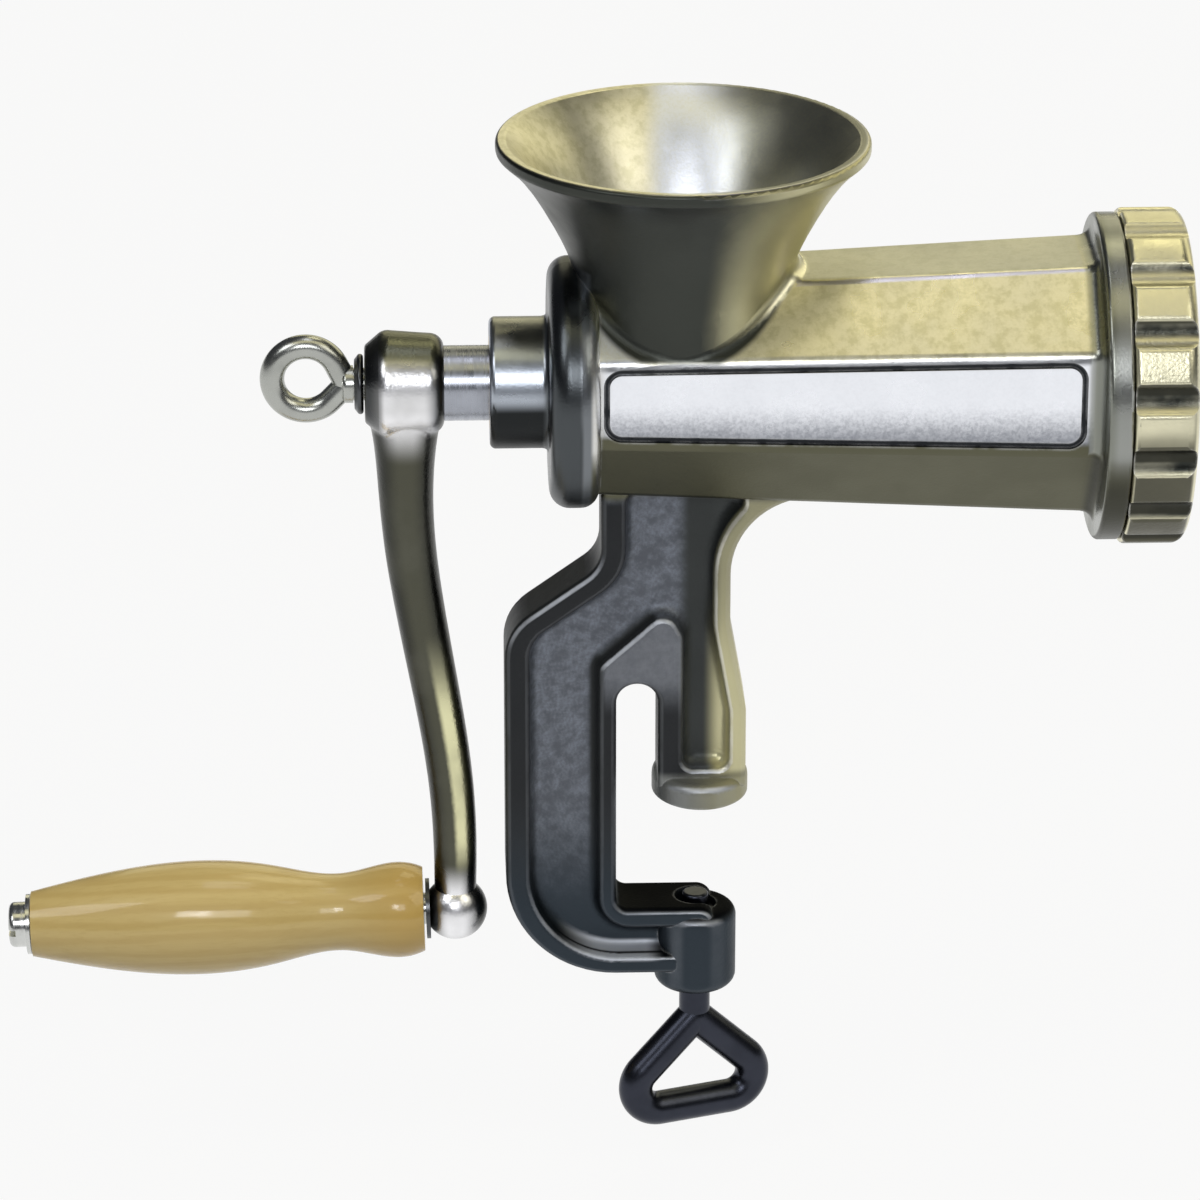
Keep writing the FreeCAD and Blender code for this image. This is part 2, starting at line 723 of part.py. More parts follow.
def ring_nut():
    solid = turned_on_barrel([
        (ring_rear_x, ring_bore_radius, fine_edge),
        (ring_rear_x, ring_radius, cast_edge),
        (ring_front_x, ring_radius, ring_round),
        (ring_front_x, ring_opening_radius + ring_mouth_bevel, 0),
        (ring_front_x - ring_mouth_bevel, ring_opening_radius, 0),
        (ring_lip_x, ring_opening_radius, 0),
        (ring_lip_x, ring_bore_radius, 0),
    ])
    return solid.common(lobed_prism())


def lobed_prism():
    """Round lobes with a scooped groove between each two, longer than the ring."""
    x0 = ring_rear_x - cut_extra
    x1 = ring_front_x + cut_extra
    reach = ring_radius + ring_groove_radius - ring_groove_depth
    grooves = [rod(ring_groove_radius, x0, x1, y, z) for y, z in ring_places(ring_lobes, reach, 0.5)]
    prism = rod(ring_radius, x0, x1).cut(Part.makeCompound(grooves))
    return rounded(prism, ring_lobe_round, lambda edge: edge.BoundBox.XLength > x1 - x0 - tolerance)


def smooth_share(value):
    value = min(max(value, 0.0), 1.0)
    return value * value * (3 - 2 * value)


def arm_section(depth):
    """An oval section of the crank arm at a depth below the barrel axis."""
    share = (depth - hub_radius) / (crank_radius - hub_radius)
    shift = smooth_share((depth - arm_lean_start) / (crank_radius - arm_lean_start - arm_lean_end))
    x = hub_middle_x + (ball_x - hub_middle_x) * shift
    width = arm_upper_width + (arm_lower_width - arm_upper_width) * share
    width += arm_flare * math.exp(-max(depth - hub_radius, 0.0) / arm_flare_height)
    across = width / 2
    along = across * arm_depth_ratio
    ellipse = Part.Ellipse(Vector(0, 0, 0), max(across, along), min(across, along)).toShape()
    if along > across:
        ellipse.rotate(Vector(0, 0, 0), axis_z, 90)
    ellipse.translate(Vector(x, 0, axis_height - depth))
    return Part.Wire(ellipse)


def drooped(shape):
    """Turns a piece that lies along X to the grip's own slope about the ball's centre."""
    shape.rotate(ball_point, axis_y, -grip_droop)
    return shape


def grip_rod(radius, x0, x1):
    return drooped(rod(radius, x0, x1, 0.0, ball_z))


def crank_ball():
    """Ball at the arm's end, flat where the grip's washer bears."""
    ball = Part.makeSphere(ball_radius, ball_point)
    size = 4 * ball_radius
    corner = Vector(ball_x - ball_face - size, -size / 2, ball_z - size / 2)
    return ball.cut(drooped(Part.makeBox(size, size, size, corner)))


def crank_arm():
    first = hub_radius * arm_sink
    last = crank_radius - ball_radius * arm_sink
    depths = [first + (last - first) * i / (arm_sections - 1) for i in range(arm_sections)]
    arm = Part.makeLoft([arm_section(depth) for depth in depths], True)
    hub = turned_on_barrel([
        (hub_left_x, 0, 0),
        (hub_left_x, hub_radius - hub_nose_step, cast_edge),
        (hub_left_x + hub_nose, hub_radius, hub_round),
        (hub_right_x, hub_radius - hub_back_step, hub_round),
        (hub_right_x, 0, 0),
    ])
    solid = rounded(arm.fuse(hub), hub_fillet, on_hub_root).fuse(crank_ball())
    solid = solid.cut(square_bar(tang_width + 2 * seat_gap, hub_left_x - cut_extra, hub_right_x + cut_extra))
    return solid.cut(grip_rod(grip_axle_radius + seat_gap, ball_x - ball_radius, axle_hole_x()))


def on_hub_root(edge):
    """True for an edge where the arm meets the underside of the hub."""
    lowest = axis_height - hub_radius - hub_fillet
    return edge.BoundBox.ZMin > lowest and edge.BoundBox.ZMax < axis_height


def axle_hole_x():
    return ball_x + ball_radius - ball_back_wall


def thumb_screw_washer():
    x1 = hub_left_x - face_gap
    x0 = x1 - thumb_washer_thickness
    hole = thumb_screw_radius + thread_gap
    return turned_on_barrel([
        (x1, hole, 0),
        (x1, thumb_washer_radius, turned_edge),
        (x0, thumb_washer_top_radius, 0),
        (x0, hole, 0),
    ])


def crank_thumb_screw():
    """Screw whose head is an eye of bent rod, closed to a point at its neck."""
    seat = hub_left_x - 2 * face_gap - thumb_washer_thickness
    neck_x = seat - eye_neck_length
    eye_x = hub_left_x - eye_reach
    start = Vector(neck_x + eye_root, 0, axis_height)
    reach = start.x - eye_x
    rise = eye_radius * reach / math.sqrt(reach ** 2 - eye_radius ** 2)
    far_x = eye_x - eye_radius
    corner = Vector(far_x, 0, axis_height + rise * (start.x - far_x) / reach)
    eye = rod_loop(eye_wire_radius, start, corner, eye_radius, Vector(eye_x, 0, axis_height))
    eye.rotate(start, axis_y, eye_tilt)
    neck = rod(thumb_screw_radius + eye_neck_step, neck_x, seat)
    neck = rounded(neck, eye_neck_round, lambda edge: edge.BoundBox.XMax < neck_x + tolerance)
    return rod(thumb_screw_radius, neck_x, hub_left_x + thumb_screw_length).fuse(neck).fuse(eye)


def grip_face_x():
    return ball_x - ball_face - grip_washer_thickness - 2 * face_gap


def grip_washer(x1):
    x0 = x1 - grip_washer_thickness
    washer = rod(grip_washer_radius, x0, x1, 0.0, ball_z)
    hole = rod(grip_axle_radius + seat_gap, x0 - cut_extra, x1 + cut_extra, 0.0, ball_z)
    return drooped(washer.cut(hole))


def grip_inner_washer():
    return grip_washer(ball_x - ball_face - seat_gap)


def grip_outer_washer():
    return grip_washer(grip_face_x() - grip_length - face_gap)


def wooden_grip():
    """Turned handle: a flare at the crank, a waist, a full belly and a small outer end."""
    x1 = grip_face_x()
    x0 = x1 - grip_length
    bore = grip_axle_radius + running_gap
    points = [Vector(x0 + share * grip_length, 0, ball_z + radius) for share, radius in grip_profile]
    curve = Part.BSplineCurve()
    curve.interpolate(points)
    inner_left = Vector(x0, 0, ball_z + bore)
    inner_right = Vector(x1, 0, ball_z + bore)
    profile = [
        curve.toShape(),
        line(points[-1], inner_right),
        line(inner_right, inner_left),
        line(inner_left, points[0]),
    ]
    return drooped(turned(profile, ball_point, axis_x))


def grip_axle():
    """Long screw through the grip, with a slotted head."""
    head_x1 = grip_face_x() - grip_length - face_gap - grip_washer_thickness - seat_gap
    head_x0 = head_x1 - axle_head_thickness
    head = rod(axle_head_radius, head_x0, head_x1, 0.0, ball_z)
    head = rounded(head, axle_head_round, lambda edge: edge.BoundBox.XMax < head_x0 + tolerance)
    slot_length = 4 * axle_head_radius
    slot_corner = Vector(head_x0, -slot_length / 2, ball_z - axle_slot_width / 2)
    slot = Part.makeBox(axle_slot_depth, slot_length, axle_slot_width, slot_corner)
    shank = rod(grip_axle_radius, head_x1, axle_hole_x() - axle_end_gap, 0.0, ball_z)
    return drooped(head.cut(slot).fuse(shank))


def clamp_screw():
    top = clamp_boss_top_z - clamp_tip_overlap - face_gap
    thread_end = clamp_boss_bottom_z - clamp_thread_reach
    apex_z = thread_end - clamp_neck_length - loop_rod_radius
    thread = post(clamp_screw_radius, thread_end, top)
    neck = post(clamp_screw_radius - clamp_neck_step, apex_z - clamp_neck_root, thread_end)
    pin = post(clamp_pin_radius, top, top + clamp_pin_length)
    apex = Vector(0, 0, apex_z)
    bar_z = apex_z - loop_height
    corner = Vector(loop_half_width, 0, bar_z)
    loop = rod_loop(loop_rod_radius, apex, corner, loop_corner_round, Vector(0, 0, bar_z))
    solid = thread.fuse(neck).fuse(pin).fuse(loop)
    solid.rotate(Vector(0, 0, 0), axis_z, loop_turn)
    return solid


def clamp_screw_tip():
    foot = clamp_boss_top_z - clamp_tip_overlap
    tip = post(clamp_tip_radius, foot, clamp_tip_z)
    tip = rounded(tip, turned_edge, lambda edge: edge.BoundBox.ZMin > clamp_tip_z - tolerance)
    return tip.cut(post(clamp_pin_radius + running_gap, foot - cut_extra, foot + clamp_pin_length))


makers = [
    body_casting, rear_bush, thrust_washer, feed_screw, knife_stud, cutting_knife, mincing_plate, plate_key,
    ring_nut, crank_arm, thumb_screw_washer, crank_thumb_screw, grip_axle, grip_inner_washer, wooden_grip,
    grip_outer_washer, clamp_screw, clamp_screw_tip,
]

os.makedirs("parts", exist_ok=True)
for maker in makers:
    shape = maker()
    print(maker.__name__, len(shape.Solids), "solid", round(shape.Volume, 1), "mm3", shape.isValid())
    shape.exportStep("parts/" + maker.__name__ + ".step")
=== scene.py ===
import functools
import json
import math

import bpy
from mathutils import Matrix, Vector


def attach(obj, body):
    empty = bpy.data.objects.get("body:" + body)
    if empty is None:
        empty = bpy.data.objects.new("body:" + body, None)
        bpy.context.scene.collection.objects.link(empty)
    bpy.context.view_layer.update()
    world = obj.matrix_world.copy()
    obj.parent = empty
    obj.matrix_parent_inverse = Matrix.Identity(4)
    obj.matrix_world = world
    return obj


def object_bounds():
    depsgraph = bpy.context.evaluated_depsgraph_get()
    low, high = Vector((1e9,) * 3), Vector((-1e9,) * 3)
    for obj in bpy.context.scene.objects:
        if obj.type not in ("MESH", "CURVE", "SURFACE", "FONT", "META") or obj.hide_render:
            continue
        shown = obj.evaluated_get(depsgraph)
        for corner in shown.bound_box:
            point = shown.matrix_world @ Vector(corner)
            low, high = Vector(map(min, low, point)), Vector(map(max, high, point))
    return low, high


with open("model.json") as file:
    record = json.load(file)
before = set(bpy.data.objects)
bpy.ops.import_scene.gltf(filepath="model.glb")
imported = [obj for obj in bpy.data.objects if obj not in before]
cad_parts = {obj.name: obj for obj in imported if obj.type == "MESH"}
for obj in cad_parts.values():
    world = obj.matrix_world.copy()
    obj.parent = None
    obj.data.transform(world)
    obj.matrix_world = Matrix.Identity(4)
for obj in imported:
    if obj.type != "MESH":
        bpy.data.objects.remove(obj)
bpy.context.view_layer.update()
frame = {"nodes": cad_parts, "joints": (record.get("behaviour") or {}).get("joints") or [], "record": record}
nodes = frame["nodes"]
joints = {joint["name"]: joint for joint in frame["joints"]}
barrelAxis = Vector(joints["crank_turn"]["pos_m"])
print("frame loaded:", len(nodes), "nodes")


# node tree helpers

def connect(tree, socket, value):
    if isinstance(value, bpy.types.NodeSocket):
        tree.links.new(value, socket)
    elif socket.type == "RGBA":
        socket.default_value = (*value[:3], 1.0)
    else:
        socket.default_value = value


def addNode(tree, kind, sockets=None, **settings):
    made = tree.nodes.new(kind)
    for name, value in settings.items():
        setattr(made, name, value)
    for name, value in (sockets or {}).items():
        connect(tree, made.inputs[name], value)
    return made


def calc(tree, operation, first, second=0.0):
    return addNode(tree, "ShaderNodeMath", {0: first, 1: second}, operation=operation).outputs[0]


def product(tree, *factors):
    return functools.reduce(lambda first, second: calc(tree, "MULTIPLY", first, second), factors)


def total(tree, *terms):
    return functools.reduce(lambda first, second: calc(tree, "ADD", first, second), terms)


def largest(tree, *values):
    return functools.reduce(lambda first, second: calc(tree, "MAXIMUM", first, second), values)


# value * slope + base
def straight(tree, value, slope, base):
    sockets = {0: value, 1: slope, 2: base}
    return addNode(tree, "ShaderNodeMath", sockets, operation="MULTIPLY_ADD").outputs[0]


def lengthOf(tree, first, second):
    return calc(tree, "SQRT", total(tree, product(tree, first, first), product(tree, second, second)))


def fade(tree, value, low, high, start=0.0, end=1.0):
    sockets = {"Value": value, "From Min": low, "From Max": high, "To Min": start, "To Max": end}
    return addNode(tree, "ShaderNodeMapRange", sockets, interpolation_type="SMOOTHSTEP").outputs["Result"]


def mixColour(tree, share, first, second):
    return addNode(tree, "ShaderNodeMix", {0: share, 6: first, 7: second}, data_type="RGBA").outputs[2]


def mixValue(tree, share, first, second):
    return addNode(tree, "ShaderNodeMix", {0: share, 2: first, 3: second}, data_type="FLOAT").outputs[0]


def noise(tree, vector, scale, detail=4.0, roughness=0.55):
    sockets = {"Vector": vector, "Scale": scale, "Detail": detail, "Roughness": roughness}
    return addNode(tree, "ShaderNodeTexNoise", sockets).outputs["Fac"]


def stretched(tree, vector, factors):
    return addNode(tree, "ShaderNodeVectorMath", {0: vector, 1: factors}, operation="MULTIPLY").outputs[0]


def objectCoords(tree):
    return addNode(tree, "ShaderNodeTexCoord").outputs["Object"]


def splitCoords(tree, vector):
    return addNode(tree, "ShaderNodeSeparateXYZ", {"Vector": vector}).outputs


# which way the surface faces, on the piece itself
def facingCoords(tree):
    return splitCoords(tree, addNode(tree, "ShaderNodeTexCoord").outputs["Normal"])


def startGroup(name, inputs, outputs):
    tree = bpy.data.node_groups.new(name, "ShaderNodeTree")
    for label, kind, value in inputs:
        socket = tree.interface.new_socket(label, in_out="INPUT", socket_type="NodeSocket" + kind)
        if value is not None:
            socket.default_value = value
    for label, kind in outputs:
        tree.interface.new_socket(label, in_out="OUTPUT", socket_type="NodeSocket" + kind)
    return tree, tree.nodes.new("NodeGroupInput").outputs, tree.nodes.new("NodeGroupOutput").inputs


def useGroup(tree, group, sockets):
    made = tree.nodes.new("ShaderNodeGroup")
    made.node_tree = group
    for name, value in sockets.items():
        connect(tree, made.inputs[name], value)
    return made.outputs


def startMaterial(name, **values):
    made = bpy.data.materials.new(name)
    made.use_nodes = True
    tree = made.node_tree
    tree.nodes.clear()
    shader = addNode(tree, "ShaderNodeBsdfPrincipled", values)
    addNode(tree, "ShaderNodeOutputMaterial", {"Surface": shader.outputs[0]})
    return made, tree, shader


def bumpOn(tree, shader, height, strength, depth):
    bump = addNode(tree, "ShaderNodeBump", {"Height": height, "Strength": strength, "Distance": depth})
    tree.links.new(bump.outputs["Normal"], shader.inputs["Normal"])


# A mask is a list of rows: a coordinate's name, its values where the mask is 0 and where it is 1, and where they
# are others, the mask's values there. The rows of a mask are multiplied.
def makeMasks(tree, coords, table):
    return {
        name: product(tree, *[fade(tree, coords[row[0]], *row[1:]) for row in rows])
        for name, rows in table.items()
    }


# tones laid over each other, each a mask's name, its share and the tone's name
def layTones(tree, base, layers, masks, tones):
    for mask, share, tone in layers:
        cover = masks[mask] if share == 1.0 else product(tree, masks[mask], share)
        base = mixColour(tree, cover, base, tones[tone])
    return base


# sand-cast skin: fine and coarse noise with rounded grains
def makeSandGrain():
    shares = {"fine": 0.6, "grains": 0.4, "coarse": 0.5}
    coarseness = 0.23           # scale of the coarse noise over that of the fine one
    tree, given, result = startGroup(
        "sandGrain",
        [("Vector", "Vector", None), ("Scale", "Float", 700.0)],
        [("Height", "Float"), ("Speckle", "Float")],
    )
    fine = noise(tree, given["Vector"], given["Scale"], 5.0, 0.62)
    coarse = noise(tree, given["Vector"], product(tree, given["Scale"], coarseness), 3.0, 0.5)
    cells = addNode(tree, "ShaderNodeTexVoronoi", {"Vector": given["Vector"], "Scale": given["Scale"]})
    grains = calc(tree, "SUBTRACT", 1.0, cells.outputs["Distance"])
    height = total(
        tree,
        product(tree, fine, shares["fine"]),
        product(tree, grains, shares["grains"]),
        product(tree, coarse, shares["coarse"]),
    )
    tree.links.new(height, result["Height"])
    tree.links.new(fade(tree, fine, 0.40, 0.66), result["Speckle"])
    return tree


# bright rubbed edges with painted highlights: how far the rounded normal leaves the true one
def makeEdgeWearHighlight():
    tree, given, result = startGroup(
        "edgeWearHighlight",
        [("Vector", "Vector", None), ("Width", "Float", 0.001), ("Breakup", "Float", 220.0)],
        [("WearHighlight", "Float")],
    )
    rounded = addNode(tree, "ShaderNodeBevel", {"Radius": given["Width"]}, samples=6).outputs["Normal"]
    true = addNode(tree, "ShaderNodeNewGeometry").outputs["Normal"]
    dot = addNode(tree, "ShaderNodeVectorMath", {0: rounded, 1: true}, operation="DOT_PRODUCT")
    away = fade(tree, calc(tree, "SUBTRACT", 1.0, dot.outputs["Value"]), 0.004, 0.10)
    patchy = fade(tree, noise(tree, given["Vector"], given["Breakup"], 3.0), 0.30, 0.62)
    tree.links.new(product(tree, away, patchy), result["WearHighlight"])
    return tree


# hair-fine rubbing marks, drawn out by the vector that is given
def makeRubMarks():
    tree, given, result = startGroup(
        "rubMarks",
        [("Vector", "Vector", None), ("Scale", "Float", 900.0)],
        [("Marks", "Float")],
    )
    lines = noise(tree, given["Vector"], given["Scale"], 2.0, 0.7)
    tree.links.new(fade(tree, lines, 0.35, 0.70), result["Marks"])
    return tree


sandGrain = makeSandGrain()
edgeWearHighlight = makeEdgeWearHighlight()
rubMarks = makeRubMarks()
print("node groups made")


castingLook = {
    "tones": {
        "tin": (0.76, 0.76, 0.75),
        "tinDull": (0.66, 0.66, 0.63),
        "panelLitTop": (0.93, 0.95, 1.0),          # painted light: cool white at the top of the side panels
        # painted shade: the side panels' tone towards their foot
        "panelShadedLow": (0.20, 0.212, 0.245),
        "browShade": (0.19, 0.195, 0.205),           # painted shade over the panel's upper groove
        # painted shade in the groove round the side panels
        "groove": (0.022, 0.024, 0.027),
        "warmLitTin": (0.77, 0.74, 0.59),           # painted warm light on everything that faces up
        # duller spots in the painted warm light
        "warmLitDull": (0.55, 0.53, 0.36),
        "topFlat": (0.74, 0.745, 0.66),
        "ridge": (0.66, 0.64, 0.72),            # painted highlight: bright line where the top flat turns down
        "coolLitTin": (0.78, 0.81, 0.88),          # painted cool reflection in the hopper and behind it
        "insideShade": (0.36, 0.36, 0.30),       # painted shade on the hopper's right inside
        "hopperShade": (0.055, 0.059, 0.052),          # painted shade outside the hopper, which is dull as well
        "yellowedAndWarmLit": (0.58, 0.55, 0.34),         # yellowed tin in the grain's specks, and painted warm light on the hopper's right, the leg and the foot
        "rootHighlight": (0.96, 0.93, 0.72),         # painted highlight on the fillet at the hopper's right root
        "under": (0.120, 0.118, 0.078),         # painted shade on the lower facets, olive
        "collar": (0.33, 0.34, 0.32),
        "collarRootShade": (0.20, 0.21, 0.17),       # painted shade in the corner behind the collar
        # painted shade under the collar
        "collarUnderShade": (0.060, 0.060, 0.046),
        # painted shade on the rear flange and on its front
        "flangeShade": (0.080, 0.088, 0.094),
        "flangeFrontShade": (0.20, 0.215, 0.23),
        # painted light and shade on the rear boss: a lit bluish middle, a darker top and a near-black underside
        "boss": (0.46, 0.50, 0.56),
        "bossTopShade": (0.34, 0.345, 0.31),
        "bossUnderShade": (0.024, 0.026, 0.027),
        "iron": (0.120, 0.131, 0.155),          # blue-grey cast skin of the frame
        "ironLight": (0.225, 0.248, 0.295),
        "rim": (0.020, 0.022, 0.025),           # near-black flat faces of the frame's rim
        "pad": (0.205, 0.218, 0.246),           # raised pad over the slot
        "crest": (0.58, 0.61, 0.67),            # painted highlight on the rounded corners of the rim
        # painted shade where the frame faces left
        "leftSideShade": (0.028, 0.031, 0.032),
        "foot": (0.30, 0.31, 0.30),
        # painted warm highlight on the leg and in its hollow
        "legHighlight": (0.74, 0.70, 0.42),
        # painted highlight on the leg's crest
        "legCrestHighlight": (0.88, 0.86, 0.76),
        "hollowShade": (0.045, 0.050, 0.050),         # painted shade in the leg's hollow
        "dark": (0.041, 0.052, 0.064),          # the lower arm, made darker towards the bottom
        "ledge": (0.006, 0.007, 0.009),         # painted shade on the top of the lower arm, under the table
        "rubbedHighlight": (0.70, 0.71, 0.73),           # edges that hands and cloths have rubbed bright, with painted highlights on them
    },
    "patchScale": 70.0,
    "mottleScale": 330.0,
    "fleckScale": 620.0,
    "grainScale": 1300.0,
    "wearHighlightWidth": 0.0011,
    "waviness": 0.0010,         # how far the border of the painted shade on the lower facets wanders
    "ironSpeckle": 0.45,
    "paintedMetallic": 0.6,     # of the frame above its lower arm
    "tinRoughness": 0.29,
    "roughness": [("dull", 0.38), ("onFrame", 0.47), ("topFlat", 0.58), ("leg", 0.34), ("ledge", 0.85)],
    "roughnessSpread": (-0.04, 0.05),
    "barrelRelief": 0.18,
    "frameRelief": 0.5,
    "bumpStrength": 0.5,
    "bumpDepth": 0.0003,
    # middle of the hopper's wall: its axis, its least radius, and slope, radius and height of its two cones
    "hopper": {"axisX": -0.004, "throat": 0.0236, "cones": [(0.43, 0.0236, 0.134), (0.77, 0.032, 0.1535)]},
    # half sizes of the barrel's side face at fullX, where they are largest, and how fast they shrink behind it
    "panel": {"fullX": 0.096, "taper": 1.374, "reach": 0.0299, "top": 0.0156, "foot": 0.0094},
}

# x and z are in metres, side is the distance from the middle plane, depth the distance from the middle of the
# hopper's wall, underTop and overFoot the distances from the panel's edges, panelDeep that below its face, and
# faceX, faceZ and faceSide tell which way the surface faces
aboveBarrel = [("z", 0.1200, 0.1222)]
belowHopper = [("z", 0.1415, 0.1400)]
faceUp = [("faceZ", 0.25, 0.55)]
hopperWall = aboveBarrel + [("depth", -0.0004, 0.0004), ("depth", 0.0046, 0.0030)]
hopperInside = aboveBarrel + [("depth", 0.0, -0.0010)]
sideFace = [("faceSide", 0.93, 0.985), ("x", -0.026, -0.022)]
panelSpan = [("x", -0.0250, -0.0244), ("x", 0.0928, 0.0922)]
topSpan = [("x", -0.002, 0.004), ("x", 0.0930, 0.0915)]
behind = belowHopper + [("x", -0.0285, -0.0300)]
collarSpan = [("x", 0.0920, 0.0945)]
frameSpan = [("z", 0.0815, 0.0785), ("x", 0.034, 0.030)]
rimSpan = frameSpan + [("side", 0.0068, 0.0088)]
legSpan = frameSpan + [("x", 0.0020, 0.0062), ("z", 0.0060, 0.0090)]
castingMasks = {
    "tinPatches": [("patches", 0.30, 0.75, 0.0, 0.6)],
    "upward": faceUp,
    "warmLitMottle": [("mottle", 0.40, 0.66, 0.0, 0.65)],
    "topFlat": topSpan + [("faceZ", 0.95, 0.985)],
    "ridge": topSpan + [("faceZ", 0.76, 0.82), ("faceZ", 0.95, 0.90)],
    "coolRear": belowHopper + faceUp + [("x", -0.012, -0.019)],
    "coolInside": hopperInside + [("x", -0.0130, -0.0065)],
    "inside": hopperInside,
    "insideShade": hopperInside + [("x", -0.001, 0.016)],
    "onPanel": sideFace,
    "panelShade": [("z", 0.1110, 0.0980)],
    "panelGrain": [("z", 0.1130, 0.1000, 0.03, 0.50)],
    "panelFlecks": [("flecks", 0.42, 0.62), ("z", 0.1120, 0.0990, 0.02, 0.45)],
    "browShade": panelSpan + sideFace + [("underTop", 0.0026, 0.0012)],
    "groove": panelSpan + [
        ("panelDeep", 0.00012, 0.00040), ("panelDeep", 0.0020, 0.0012),
        ("underTop", 0.0009, 0.0013), ("overFoot", 0.0009, 0.0013),
    ],
    "collar": collarSpan,
    "collarRootShade": [("x", 0.0915, 0.0930), ("x", 0.0990, 0.0965)],
    "collarUnderShade": collarSpan + [("faceZ", -0.10, -0.45)],
    "hopperOuter": hopperWall,
    "hopperRightLit": hopperWall + [("faceX", 0.12, 0.62)],
    "rootHighlight": aboveBarrel + belowHopper + [
        ("faceX", 0.05, 0.35), ("depth", 0.0020, 0.0032), ("depth", 0.0075, 0.0052),
    ],
    "underFacets": [("wavyZ", 0.1015, 0.0985), ("faceZ", -0.10, -0.40)],
    "underPanel": panelSpan + [("overFoot", 0.0034, 0.0016), ("z", 0.0700, 0.0750)],
    "flangeFrontShade": belowHopper + [("x", -0.0262, -0.0274)],
    "boss": behind + [("x", -0.0365, -0.0385)],
    "bossUnderShade": behind + [("faceZ", 0.10, -0.15)],
    "bossTopShade": behind + [("faceZ", 0.70, 0.88)],
    "flangeShade": behind + [("x", -0.0385, -0.0365)],
    "onFrame": frameSpan,
    "ironMottle": [("mottle", 0.34, 0.68)],
    "rimFace": rimSpan,
    "pad": rimSpan + [
        ("x", -0.0270, -0.0225), ("x", 0.0010, -0.0015), ("z", 0.0225, 0.0345), ("z", 0.0545, 0.0525),
    ],
    "padMottle": [("mottle", 0.34, 0.68, 0.0, 0.5)],
    "leftSideShade": frameSpan + [("faceX", -0.06, -0.60)],
    "foot": [("z", 0.0080, 0.0055), ("x", -0.014, -0.012)],
    # painted warm light towards the foot's right
    "footWarmLit": [("x", -0.006, 0.012)],
    "leg": legSpan,
    "legGlow": legSpan + [("z", 0.062, 0.030)],
    "lowArm": [("z", 0.006, -0.034)],
    "hollow": frameSpan + [("x", -0.0062, -0.0018), ("side", 0.0080, 0.0062), ("z", 0.0070, 0.0100)],
    "hollowGlow": [("x", 0.0012, 0.0068), ("z", 0.058, 0.030)],
    "rimCorner": rimSpan + [
        ("faceSide", 0.97, 0.90), ("faceSide", 0.50, 0.72), ("patches", 0.30, 0.62, 0.35, 1.0),
    ],
    "cornerUp": [("faceZ", 0.05, 0.45, 0.10, 0.95)],
    "cornerBeside": [("x", 0.0030, 0.0050), ("faceX", -0.20, -0.50, 0.0, 0.75)],
    "ledge": [("z", -0.020, -0.027), ("faceZ", 0.35, 0.80)],
    "sheen": [
        ("x", -0.036, -0.024), ("x", -0.008, -0.013), ("z", -0.030, -0.036),
        ("faceZ", 0.10, 0.45), ("faceSide", 0.10, 0.35),
    ],
    "painted": frameSpan + [("z", -0.030, -0.005)],
}
castingLayers = [
    ("upward", 1.0, "warmLitTone"),
    ("topFlat", 0.6, "topFlat"),
    ("ridge", 1.0, "ridge"),
    ("cool", 1.0, "coolLitTin"),
    ("insideShade", 1.0, "insideShade"),
    ("speckle", 0.14, "yellowedAndWarmLit"),
    ("onPanel", 1.0, "panelTone"),
    ("browShade", 0.8, "browShade"),
    ("collar", 1.0, "collar"),
    ("collarRootShade", 0.6, "collarRootShade"),
    ("hopperOuter", 1.0, "hopperShade"),
    ("hopperRightLit", 1.0, "yellowedAndWarmLit"),
    ("rootHighlight", 1.0, "rootHighlight"),
    ("under", 1.0, "under"),
    ("collarUnderShade", 1.0, "collarUnderShade"),
    ("flangeFrontShade", 1.0, "flangeFrontShade"),
    ("boss", 1.0, "boss"),
    ("bossUnderShade", 1.0, "bossUnderShade"),
    ("bossTopShade", 1.0, "bossTopShade"),
    ("flangeShade", 1.0, "flangeShade"),
    ("onFrame", 1.0, "ironTone"),
    ("rimFace", 1.0, "rim"),
    ("pad", 1.0, "padTone"),
    ("leftSideShade", 1.0, "leftSideShade"),
    ("foot", 0.7, "footTone"),
    # painted warm light on the leg
    ("leg", 0.6, "yellowedAndWarmLit"),
    ("legGlow", 0.75, "legHighlight"),
    ("lowArm", 1.0, "dark"),
    ("hollow", 1.0, "hollowTone"),
    ("crest", 1.0, "crestHighlightTone"),
    ("ledge", 1.0, "ledge"),
    ("sheen", 0.8, "crest"),
    ("groove", 1.0, "groove"),
    ("wornAndLit", 0.3, "rubbedHighlight"),
]


# distance from the middle of the funnel's wall, negative towards its inside
def hopperDepth(tree, x, y, z):
    shape = castingLook["hopper"]
    reach = lengthOf(tree, calc(tree, "SUBTRACT", x, shape["axisX"]), y)
    cones = [straight(tree, z, slope, radius - slope * height) for slope, radius, height in shape["cones"]]
    return calc(tree, "SUBTRACT", reach, largest(tree, *cones, shape["throat"]))


# distances from the edges and the face of the side panels, which taper with the barrel
def panelCoords(tree, x, side, z):
    shape = castingLook["panel"]
    scale = straight(tree, x, shape["taper"], 1.0 - shape["fullX"] * shape["taper"])
    rise = calc(tree, "SUBTRACT", z, barrelAxis.z)
    return {
        "panelDeep": calc(tree, "SUBTRACT", product(tree, scale, shape["reach"]), side),
        "underTop": calc(tree, "SUBTRACT", product(tree, scale, shape["top"]), rise),
        "overFoot": total(tree, product(tree, scale, shape["foot"]), rise),
    }


